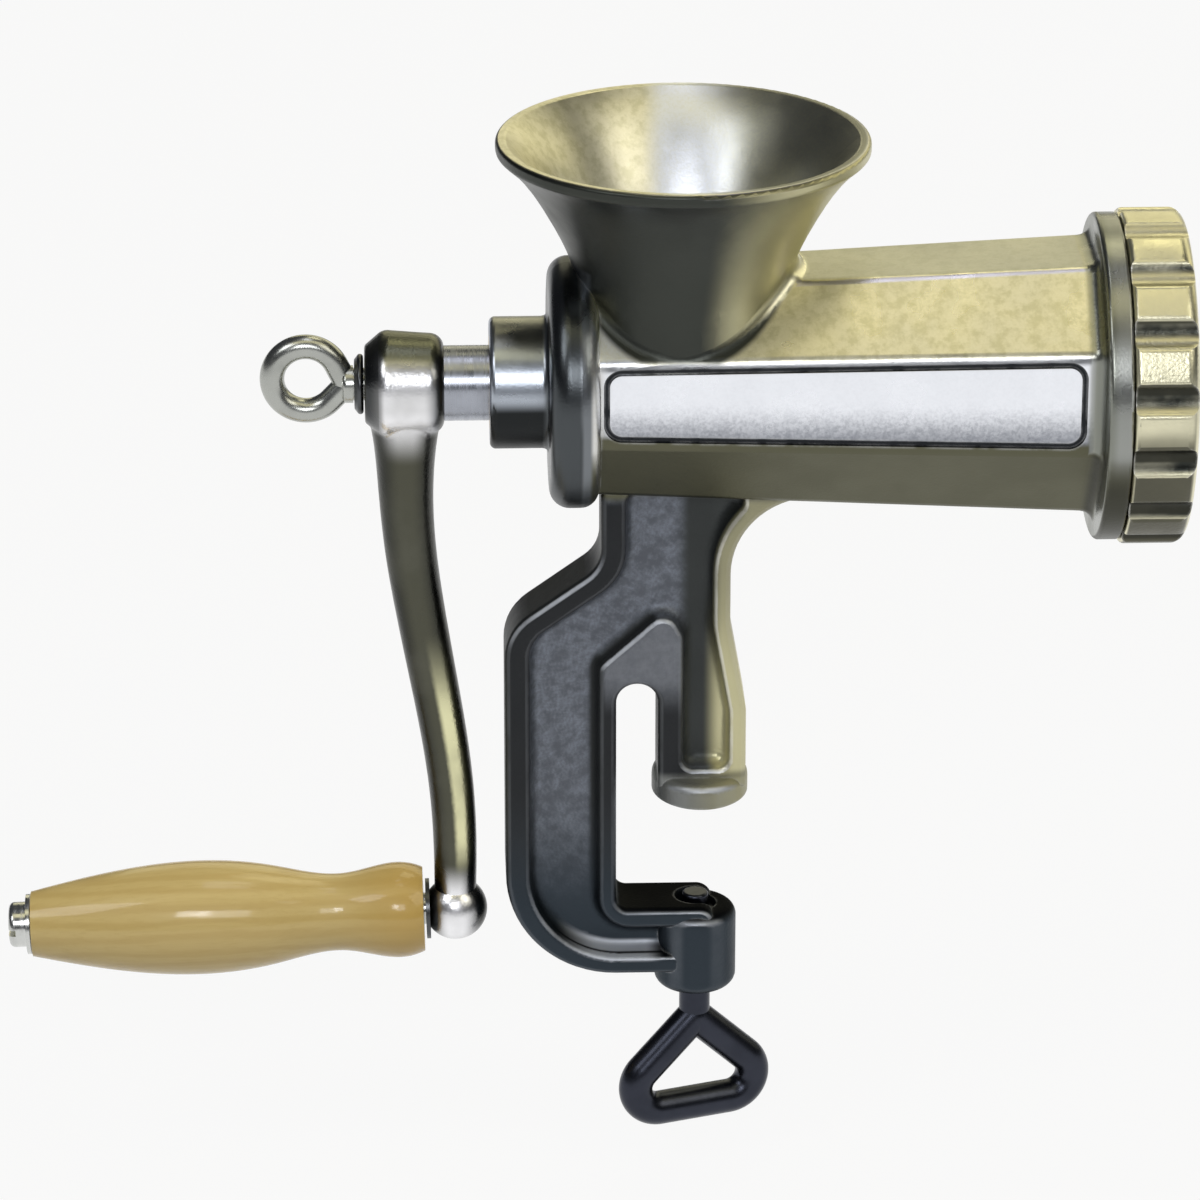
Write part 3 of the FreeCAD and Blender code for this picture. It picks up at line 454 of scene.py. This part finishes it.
def castingCoords(tree, place):
    look = castingLook
    x, y, z = splitCoords(tree, place)
    facing = facingCoords(tree)
    side = calc(tree, "ABSOLUTE", y)
    patches = noise(tree, place, look["patchScale"], 3.0)
    return {
        "x": x, "z": z, "side": side,
        "faceX": facing[0], "faceSide": calc(tree, "ABSOLUTE", facing[1]), "faceZ": facing[2],
        "depth": hopperDepth(tree, x, y, z),
        "patches": patches,
        "mottle": noise(tree, place, look["mottleScale"], 5.0, 0.65),
        "flecks": noise(tree, place, look["fleckScale"], 3.0, 0.6),
        "wavyZ": total(tree, z, fade(tree, patches, 0.2, 0.8, -look["waviness"], look["waviness"])),
        **panelCoords(tree, x, side, z),
    }


# tones that vary within their mask
def mixedTones(tree, masks):
    tones = castingLook["tones"]
    # painted light and shade on the side panels: light at the top, darker towards the foot, with darker grains and
    # flecks lower down
    panelTone = mixColour(tree, masks["panelShade"], tones["panelLitTop"], tones["panelShadedLow"])
    for spots in (product(tree, masks["speckle"], masks["panelGrain"]), masks["panelFlecks"]):
        panelTone = mixColour(tree, spots, panelTone, tones["panelShadedLow"])
    ironTone = mixColour(tree, masks["ironMottle"], tones["iron"], tones["ironLight"])
    ironSpots = product(tree, masks["speckle"], castingLook["ironSpeckle"])
    return {
        "panelTone": panelTone,
        "warmLitTone": mixColour(tree, masks["warmLitMottle"], tones["warmLitTin"], tones["warmLitDull"]),
        "ironTone": mixColour(tree, ironSpots, ironTone, tones["iron"]),
        "padTone": mixColour(tree, masks["padMottle"], tones["pad"], tones["iron"]),
        "footTone": mixColour(tree, masks["footWarmLit"], tones["foot"], tones["yellowedAndWarmLit"]),
        "hollowTone": mixColour(tree, masks["hollowGlow"], tones["hollowShade"], tones["legHighlight"]),
        "crestHighlightTone": mixColour(tree, masks["leg"], tones["crest"], tones["legCrestHighlight"]),
    }


def makeCastingFinish():
    look = castingLook
    made, tree, shader = startMaterial("tinnedCasting", Metallic=1.0)
    place = objectCoords(tree)
    grain = useGroup(tree, sandGrain, {"Vector": place, "Scale": look["grainScale"]})
    coords = castingCoords(tree, place)
    masks = makeMasks(tree, coords, castingMasks)
    masks["speckle"] = grain["Speckle"]
    masks["wornAndLit"] = useGroup(tree, edgeWearHighlight, {"Vector": place, "Width": look["wearHighlightWidth"]})["WearHighlight"]
    masks["cool"] = largest(tree, masks["coolRear"], masks["coolInside"])
    masks["under"] = largest(tree, masks["underFacets"], masks["underPanel"])
    masks["crest"] = product(
        tree, masks["rimCorner"], largest(tree, masks["cornerUp"], masks["cornerBeside"])
    )
    masks["dull"] = largest(tree, masks["hopperOuter"], masks["under"], masks["inside"])

    tones = {**look["tones"], **mixedTones(tree, masks)}
    tint = mixColour(tree, masks["tinPatches"], tones["tin"], tones["tinDull"])
    tint = layTones(tree, tint, castingLayers, masks, tones)
    tree.links.new(tint, shader.inputs["Base Color"])

    rough = look["tinRoughness"]
    for mask, value in look["roughness"]:
        rough = mixValue(tree, masks[mask], rough, value)
    rough = total(tree, rough, fade(tree, coords["patches"], 0.3, 0.7, *look["roughnessSpread"]))
    tree.links.new(rough, shader.inputs["Roughness"])
    metallic = mixValue(tree, masks["painted"], 1.0, look["paintedMetallic"])
    tree.links.new(metallic, shader.inputs["Metallic"])
    relief = mixValue(tree, masks["onFrame"], look["barrelRelief"], look["frameRelief"])
    bumpOn(tree, shader, product(tree, grain["Height"], relief), look["bumpStrength"], look["bumpDepth"])
    return made


ringLook = {
    "tones": {
        "tin": (0.80, 0.765, 0.55),
        "dull": (0.58, 0.56, 0.43),
        "grooves": (0.035, 0.038, 0.034),       # painted shade between the lobes
        "ringGrooveLitTop": (0.62, 0.59, 0.43),       # painted light on the grooves where they face up
        # painted shade on the lobes that face down
        "under": (0.038, 0.038, 0.030),
        "wornHighlight": (0.86, 0.85, 0.80),             # worn corners of the lobes, with painted highlights on them
    },
    "patchScale": 90.0,
    "grainScale": 1200.0,
    "wearHighlightWidth": 0.0009,
    "roughness": (0.28, 0.40),
    "bumpStrength": 0.25,
    "bumpDepth": 0.0003,
}
# reach is the distance from the ring's axis, faceEnd tells how far the surface faces along it
ringMasks = {
    "endFace": [("faceEnd", 0.45, 0.80)],
    "outerLobe": [("reach", 0.0398, 0.0409)],
    "groovesUp": [("faceZ", 0.40, 0.80)],
    "dull": [("patches", 0.35, 0.75, 0.0, 0.4)],
    "under": [("faceZ", 0.05, -0.12), ("faceEnd", 0.45, 0.80, 1.0, 0.0)],
}
ringLayers = [("lobe", 1.0, "tin"), ("dull", 1.0, "dull"), ("under", 0.9, "under"), ("wornAndLit", 0.55, "wornHighlight")]


def makeRingFinish():
    look = ringLook
    made, tree, shader = startMaterial("tinnedRing", Metallic=1.0)
    place = objectCoords(tree)
    across = splitCoords(tree, place)
    facing = facingCoords(tree)
    coords = {
        "reach": lengthOf(tree, across[1], calc(tree, "SUBTRACT", across[2], barrelAxis.z)),
        "faceEnd": calc(tree, "ABSOLUTE", facing[0]),
        "faceZ": facing[2],
        "patches": noise(tree, place, look["patchScale"], 3.0),
    }
    masks = makeMasks(tree, coords, ringMasks)
    masks["lobe"] = largest(tree, masks["endFace"], masks["outerLobe"])
    masks["wornAndLit"] = useGroup(tree, edgeWearHighlight, {"Vector": place, "Width": look["wearHighlightWidth"]})["WearHighlight"]
    tones = look["tones"]
    tint = mixColour(tree, masks["groovesUp"], tones["grooves"], tones["ringGrooveLitTop"])
    tint = layTones(tree, tint, ringLayers, masks, tones)
    tree.links.new(tint, shader.inputs["Base Color"])
    tree.links.new(fade(tree, coords["patches"], 0.3, 0.7, *look["roughness"]), shader.inputs["Roughness"])
    grain = useGroup(tree, sandGrain, {"Vector": place, "Scale": look["grainScale"]})
    bumpOn(tree, shader, grain["Height"], look["bumpStrength"], look["bumpDepth"])
    return made


crankLook = {
    "tones": {
        "front": (0.088, 0.088, 0.066),         # painted shade on the flat of the arm, olive
        # painted shade on the arm's sides
        "sidesShade": (0.040, 0.041, 0.036),
        "hubBallHighlight": (0.96, 0.96, 0.98),           # painted highlight on the hub's front and on the ball
        # painted shade on the hub's top and on its ends
        "hubTopShade": (0.15, 0.155, 0.115),
        "hubEndsShade": (0.13, 0.14, 0.165),
        # painted warm highlight in a stripe on the arm's right side
        "yellowedAndWarmLit": (0.80, 0.78, 0.48),
        "smudge": (0.16, 0.16, 0.13),
    },
    "hubMiddle": -0.0716,
    "patchScale": 60.0,
    "grainScale": 1300.0,
    "roughness": (0.24, 0.36),
    "bumpStrength": 0.2,
    "bumpDepth": 0.0003,
}
# fromMiddle is the distance from the hub's middle along its axis, faceEnd tells how far the surface faces along it
hubSpan = [("z", 0.092, 0.098)]
crankMasks = {
    "hubFront": [("z", 0.089, 0.103)],
    "ball": [("z", -0.018, -0.028)],
    "hubEndsShade": hubSpan + [("fromMiddle", 0.0045, 0.0088)],
    "hubTopShade": hubSpan + [("faceZ", 0.50, 0.78)],
    "sidesShade": [("faceEnd", 0.18, 0.85)],
    "stripeHighlight": [("faceX", 0.92, 0.70), ("z", 0.045, 0.020), ("faceX", -0.08, 0.20), ("z", -0.022, -0.012)],
    "smudge": [("patches", 0.4, 0.75, 0.0, 0.3)],
}
crankLayers = [
    ("hubBallHighlight", 1.0, "hubBallHighlight"),
    ("hubEndsShade", 1.0, "hubEndsShade"),
    ("hubTopShade", 1.0, "hubTopShade"),
    ("sidesShade", 1.0, "sidesShade"),
    ("stripeHighlight", 1.0, "yellowedAndWarmLit"),
    ("smudge", 1.0, "smudge"),
]


def makeCrankFinish():
    look = crankLook
    made, tree, shader = startMaterial("tinnedCrank", Metallic=1.0)
    place = objectCoords(tree)
    across = splitCoords(tree, place)
    facing = facingCoords(tree)
    coords = {
        "fromMiddle": calc(tree, "ABSOLUTE", calc(tree, "SUBTRACT", across[0], look["hubMiddle"])),
        "z": across[2],
        "faceX": facing[0], "faceEnd": calc(tree, "ABSOLUTE", facing[0]), "faceZ": facing[2],
        "patches": noise(tree, place, look["patchScale"], 3.0),
    }
    masks = makeMasks(tree, coords, crankMasks)
    masks["hubBallHighlight"] = largest(tree, masks["hubFront"], masks["ball"])
    tint = layTones(tree, look["tones"]["front"], crankLayers, masks, look["tones"])
    tree.links.new(tint, shader.inputs["Base Color"])
    tree.links.new(fade(tree, coords["patches"], 0.3, 0.7, *look["roughness"]), shader.inputs["Roughness"])
    grain = useGroup(tree, sandGrain, {"Vector": place, "Scale": look["grainScale"]})
    bumpOn(tree, shader, grain["Height"], look["bumpStrength"], look["bumpDepth"])
    return made


# "turned" marks run round a piece that was turned on an axis along X, "even" ones run no special way
marksWay = {"turned": (1.0, 0.10, 0.10), "even": (1.0, 1.0, 1.0)}
steelLook = {"patchScale": 120.0, "darker": 0.72, "bumpDepth": 0.0001}
steels = {
    # name: (tone, roughness between the marks and on them, scale of the marks, their way, their relief)
    # tin darkened as painted shade
    "tinnedScrewShaded": ((0.40, 0.42, 0.47), (0.24, 0.34), 900.0, "turned", 0.05),
    "bronzeBush": ((0.62, 0.44, 0.22), (0.25, 0.38), 900.0, "turned", 0.05),
    "fibreWasher": ((0.36, 0.19, 0.12), (0.55, 0.70), 900.0, "turned", 0.05),
    "brightSteel": ((0.64, 0.65, 0.63), (0.16, 0.28), 900.0, "turned", 0.05),
    # near-black steel: the thumb screw's washer, and painted shade for the grip's inner washer in the gap next to
    # the ball
    "dullSteelShade": ((0.10, 0.105, 0.11), (0.30, 0.42), 900.0, "turned", 0.05),
    "blackSteel": ((0.046, 0.050, 0.066), (0.29, 0.34), 500.0, "even", 0.0),
    "eyeSteel": ((0.46, 0.47, 0.44), (0.25, 0.29), 500.0, "even", 0.0),
}


def makeSteelFinish(name):
    tone, roughness, markScale, way, relief = steels[name]
    made, tree, shader = startMaterial(name, Metallic=1.0)
    place = objectCoords(tree)
    along = stretched(tree, place, marksWay[way])
    marks = useGroup(tree, rubMarks, {"Vector": along, "Scale": markScale})["Marks"]
    patches = fade(tree, noise(tree, place, steelLook["patchScale"], 3.0), 0.35, 0.75, 0.0, 0.6)
    darker = tuple(steelLook["darker"] * value for value in tone)
    tree.links.new(mixColour(tree, patches, tone, darker), shader.inputs["Base Color"])
    tree.links.new(mixValue(tree, marks, *roughness), shader.inputs["Roughness"])
    if relief:
        bumpOn(tree, shader, marks, relief, steelLook["bumpDepth"])
    return made


woodLook = {
    "pale": (0.77, 0.58, 0.23),
    "grain": (0.64, 0.44, 0.14),
    "amber": (0.66, 0.42, 0.10),            # varnish pooled at the flared end
    "amberSpan": (-0.034, -0.010, 0.0, 0.7),
    "rings": 260.0,             # growth rings per metre
    "ringShare": 0.40,
    "ringTilt": 0.35,
    "ringWarp": 0.010,
    "warpScale": 60.0,
    "fibreScale": 1400.0,
    "lengthwise": 0.10,         # grain is drawn out along the grip by one over this
    "roughness": (0.36, 0.48),
    "coat": 0.6,
    "coatRoughness": 0.09,
    "specular": 0.3,
    "bumpStrength": 0.10,
    "bumpDepth": 0.0002,
}


def makeWoodFinish():
    look = woodLook
    made, tree, shader = startMaterial("varnishedWood", Metallic=0.0)
    shader.inputs["Coat Weight"].default_value = look["coat"]
    shader.inputs["Coat Roughness"].default_value = look["coatRoughness"]
    shader.inputs["Specular IOR Level"].default_value = look["specular"]
    grip = joints["grip_spin"]
    mapping = addNode(tree, "ShaderNodeMapping", {"Vector": objectCoords(tree)}, vector_type="TEXTURE")
    mapping.inputs["Location"].default_value = grip["pos_m"]
    turn = Vector((1, 0, 0)).rotation_difference(Vector(grip["axis"]))
    mapping.inputs["Rotation"].default_value = turn.to_euler()
    onGrip = mapping.outputs[0]
    drawnOut = stretched(tree, onGrip, (look["lengthwise"], 1.0, 1.0))
    across = splitCoords(tree, drawnOut)
    warp = noise(tree, drawnOut, look["warpScale"], 4.0, 0.6)
    offset = total(
        tree, across[2], product(tree, across[1], look["ringTilt"]), product(tree, warp, look["ringWarp"])
    )
    rings = fade(tree, calc(tree, "SINE", product(tree, offset, look["rings"] * 2 * math.pi)), -0.6, 1.0)
    fibres = noise(tree, drawnOut, look["fibreScale"], 3.0, 0.7)
    tint = mixColour(tree, product(tree, rings, look["ringShare"]), look["pale"], look["grain"])
    tint = mixColour(tree, fade(tree, fibres, 0.45, 0.75, 0.0, 0.30), tint, look["grain"])
    amber = fade(tree, splitCoords(tree, onGrip)[0], *look["amberSpan"])
    tree.links.new(mixColour(tree, amber, tint, look["amber"]), shader.inputs["Base Color"])
    tree.links.new(fade(tree, fibres, 0.3, 0.7, *look["roughness"]), shader.inputs["Roughness"])
    bumpOn(tree, shader, fibres, look["bumpStrength"], look["bumpDepth"])
    return made


finishes = {
    "tinnedCasting": makeCastingFinish(),
    "tinnedRing": makeRingFinish(),
    "tinnedCrank": makeCrankFinish(),
    "varnishedWood": makeWoodFinish(),
    **{name: makeSteelFinish(name) for name in steels},
}
nodeFinishes = {
    "body_casting": "tinnedCasting",
    "ring_nut": "tinnedRing",
    "crank_arm": "tinnedCrank",
    "wooden_grip": "varnishedWood",
    "feed_screw": "tinnedScrewShaded",
    "rear_bush": "bronzeBush",
    "thrust_washer": "fibreWasher",
    "thumb_screw_washer": "dullSteelShade",
    "grip_inner_washer": "dullSteelShade",
    "crank_thumb_screw": "eyeSteel",
    "clamp_screw": "blackSteel",
    "clamp_screw_tip": "blackSteel",
}
for name, node in nodes.items():
    for materialSlot in node.material_slots:
        materialSlot.material = finishes[nodeFinishes.get(name, "brightSteel")]
print("finishes set")


# screw threads: a low ridge wound on each plain screw, inside the gap to the piece that it screws into
threads = {
    "clampThread": {
        "joint": "clamp_tip_slide", "body": "clamp_handle", "slot": "black_steel", "finish": "blackSteel",
        "along": "Z", "start": -0.0549, "end": -0.0338, "radius": 0.0050, "height": 0.00024, "steps": 36,
    },
    "thumbThread": {
        "joint": "thumb_washer_slide", "body": "thumb_screw", "slot": "bright_steel", "finish": "eyeSteel",
        "along": "X", "start": -0.0812, "end": -0.0676, "radius": 0.0040, "height": 0.00024, "steps": 36,
    },
    "spigotThread": {
        "joint": "plate_slide", "body": "frame", "slot": "tinned_casting", "finish": "tinnedScrewShaded",
        "along": "X", "start": 0.1024, "end": 0.1110, "radius": 0.0370, "height": 0.00022, "steps": 120,
    },
}
ridge = {
    "sink": 0.0002,             # the ridge's foot lies this far inside the screw
    "foot": 0.80,               # width of the ridge's foot over the pitch
    "crest": 0.25,              # width of its crest over its foot
    "smoothAngle": 25.0,
}
middlePoint = (0, 0, 0)


def screwPitch(joint):
    couplings = frame["record"]["behaviour"]["couplings"]
    return 2 * math.pi * next(pair["ratio"] for pair in couplings if pair["joint"] == joint)


def selectVerts(piece, wanted):
    bpy.ops.mesh.select_all(action="DESELECT")
    bpy.ops.object.mode_set(mode="OBJECT")
    for vert in piece.data.vertices:
        vert.select = wanted(vert.co)
    bpy.ops.object.mode_set(mode="EDIT")


# section of the ridge: an open loop that narrows outwards, beside the Z axis
def shapeSection(piece, look, pitch):
    depth = look["height"] + ridge["sink"]
    bpy.ops.object.mode_set(mode="EDIT")
    bpy.ops.mesh.select_mode(type="VERT")
    bpy.ops.mesh.delete(type="ONLY_FACE")
    bpy.ops.mesh.select_all(action="SELECT")
    bpy.ops.transform.rotate(value=math.pi / 2, orient_axis="X", center_override=middlePoint)
    bpy.ops.transform.resize(value=(depth, 1.0, ridge["foot"] * pitch), center_override=middlePoint)
    selectVerts(piece, lambda place: place.x > 0)
    bpy.ops.transform.resize(value=(1.0, 1.0, ridge["crest"]), center_override=middlePoint)
    bpy.ops.mesh.select_all(action="SELECT")
    bpy.ops.transform.translate(value=(look["radius"] + look["height"] - depth / 2, 0, 0))
    bpy.ops.object.mode_set(mode="OBJECT")


def windSection(piece, look, pitch, turns):
    winding = piece.modifiers.new("winding", "SCREW")
    winding.axis = "Z"
    winding.screw_offset = pitch
    winding.iterations = turns
    winding.steps = winding.render_steps = look["steps"]
    bpy.ops.object.modifier_apply(modifier=winding.name)


# both open ends are drawn to one point halfway along, and the thread goes to its place on the screw
def finishWinding(look, middle):
    bpy.ops.object.mode_set(mode="EDIT")
    bpy.ops.mesh.select_all(action="DESELECT")
    bpy.ops.mesh.select_non_manifold()
    bpy.ops.mesh.merge(type="CENTER")
    bpy.ops.mesh.select_all(action="SELECT")
    bpy.ops.mesh.normals_make_consistent(inside=False)
    bpy.ops.transform.translate(value=(0, 0, -middle))
    centre = (look["start"] + look["end"]) / 2
    if look["along"] == "X":
        bpy.ops.transform.rotate(value=math.pi / 2, orient_axis="Y", center_override=middlePoint)
        bpy.ops.transform.translate(value=(centre, 0, barrelAxis.z))
    else:
        bpy.ops.transform.translate(value=(0, 0, centre))
    bpy.ops.object.mode_set(mode="OBJECT")


def makeThread(name, look):
    pitch = screwPitch(look["joint"])
    turns = int((look["end"] - look["start"]) / pitch - ridge["foot"])
    bpy.ops.object.select_all(action="DESELECT")
    bpy.ops.mesh.primitive_plane_add(size=1.0, location=(0, 0, 0))
    piece = bpy.context.object
    piece.name = name
    shapeSection(piece, look, pitch)
    windSection(piece, look, pitch, turns)
    finishWinding(look, pitch * turns / 2)
    bpy.ops.object.shade_smooth_by_angle(angle=math.radians(ridge["smoothAngle"]))
    piece.data.materials.append(finishes[look["finish"]])
    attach(piece, look["body"])


for name, look in threads.items():
    makeThread(name, look)
print("threads wound")


studio = {
    "floorGap": 0.0010,         # floor below the clamp handle when it is wound right down
    "floorSize": 24.0,
    "floorColour": (0.52, 0.52, 0.52),
    "floorRoughness": 0.9,
    "whiteShare": 0.92,         # how much of the floor is plain white
    "surroundings": (0.060, 0.063, 0.070),
    "lampTarget": (-0.02, 0.0, 0.06),
}
lamps = {
    # name: (azimuth, elevation, distance, width, height, radiance, colour)
    "frontKey": (-9.0, 29.0, 1.8, 0.30, 0.36, 12.0, (0.97, 0.98, 1.0)),
    "frontSoft": (2.0, 27.0, 1.8, 0.55, 0.45, 4.5, (0.96, 0.97, 1.0)),
    "fillLeft": (-52.0, 44.0, 1.7, 0.6, 0.6, 4.0, (0.97, 0.98, 1.0)),
    "fillRight": (52.0, 40.0, 1.7, 0.9, 0.8, 2.2, (1.0, 0.96, 0.82)),
    "overheadWarm": (12.0, 71.0, 1.5, 1.8, 0.55, 1.05, (1.0, 0.92, 0.58)),
    "overRing": (-20.0, 122.0, 1.5, 0.50, 0.50, 2.0, (1.0, 0.93, 0.6)),
    "zenithCool": (0.0, 93.0, 1.5, 0.35, 0.5, 2.0, (0.95, 0.95, 1.0)),
    "backWarm": (150.0, 25.0, 1.8, 3.2, 0.9, 1.1, (1.0, 0.93, 0.62)),
}
cameraView = {
    "target": (-0.024, 0.0, 0.0505),
    "azimuth": -1.9,            # degrees, to the left of straight in front
    "elevation": 22.1,
    "distance": 1.483,
    "lens": 180.0,
    "sensor": 36.0,
}


# links an object that looks at the target from an azimuth, an elevation and a distance
def addAimed(name, data, target, azimuth, elevation, distance):
    aimed = bpy.data.objects.new(name, data)
    bpy.context.scene.collection.objects.link(aimed)
    turn, rise = math.radians(azimuth), math.radians(elevation)
    out = Vector((math.sin(turn) * math.cos(rise), -math.cos(turn) * math.cos(rise), math.sin(rise)))
    aimed.location = Vector(target) + out * distance
    aimed.rotation_euler = (-out).to_track_quat("-Z", "Y").to_euler()
    return aimed


# white to what sees it directly or mirrored, and grey to the light that it throws back
def makeFloor():
    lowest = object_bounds()[0].z + joints["clamp_tip_slide"]["range_m"][0]
    bpy.ops.mesh.primitive_plane_add(size=studio["floorSize"], location=(0, 0, lowest - studio["floorGap"]))
    floor = bpy.context.object
    floor.name = "floor"
    colour = {"Base Color": studio["floorColour"]}
    made, tree, shader = startMaterial("paleFloor", Roughness=studio["floorRoughness"], **colour)
    path = addNode(tree, "ShaderNodeLightPath").outputs
    seen = total(tree, path["Is Camera Ray"], path["Is Glossy Ray"], path["Is Transmission Ray"])
    share = product(tree, calc(tree, "MINIMUM", seen, 1.0), studio["whiteShare"])
    white = addNode(tree, "ShaderNodeEmission", {"Color": (1.0, 1.0, 1.0), "Strength": 1.0})
    surface = addNode(tree, "ShaderNodeMixShader", {0: share, 1: shader.outputs[0], 2: white.outputs[0]})
    outlet = next(node for node in tree.nodes if node.type == "OUTPUT_MATERIAL")
    tree.links.new(surface.outputs[0], outlet.inputs["Surface"])
    floor.data.materials.append(made)


def makeLamps():
    for name, (azimuth, elevation, distance, width, height, radiance, colour) in lamps.items():
        data = bpy.data.lights.new(name, "AREA")
        data.shape = "RECTANGLE"
        data.size = width
        data.size_y = height
        data.energy = radiance * math.pi * width * height
        data.color = colour
        lamp = addAimed(name, data, studio["lampTarget"], azimuth, elevation, distance)
        lamp.visible_camera = False


def makeSurroundings():
    world = bpy.data.worlds.new("studio")
    world.use_nodes = True
    world.node_tree.nodes["Background"].inputs["Color"].default_value = (*studio["surroundings"], 1.0)
    bpy.context.scene.world = world


def makeCamera():
    view = cameraView
    data = bpy.data.cameras.new("photoCamera")
    data.lens = view["lens"]
    data.sensor_width = view["sensor"]
    bpy.context.scene.camera = addAimed(
        "photoCamera", data, view["target"], view["azimuth"], view["elevation"], view["distance"]
    )


makeFloor()
makeLamps()
makeSurroundings()
makeCamera()
bpy.context.scene.view_settings.view_transform = "Standard"
print("studio set")
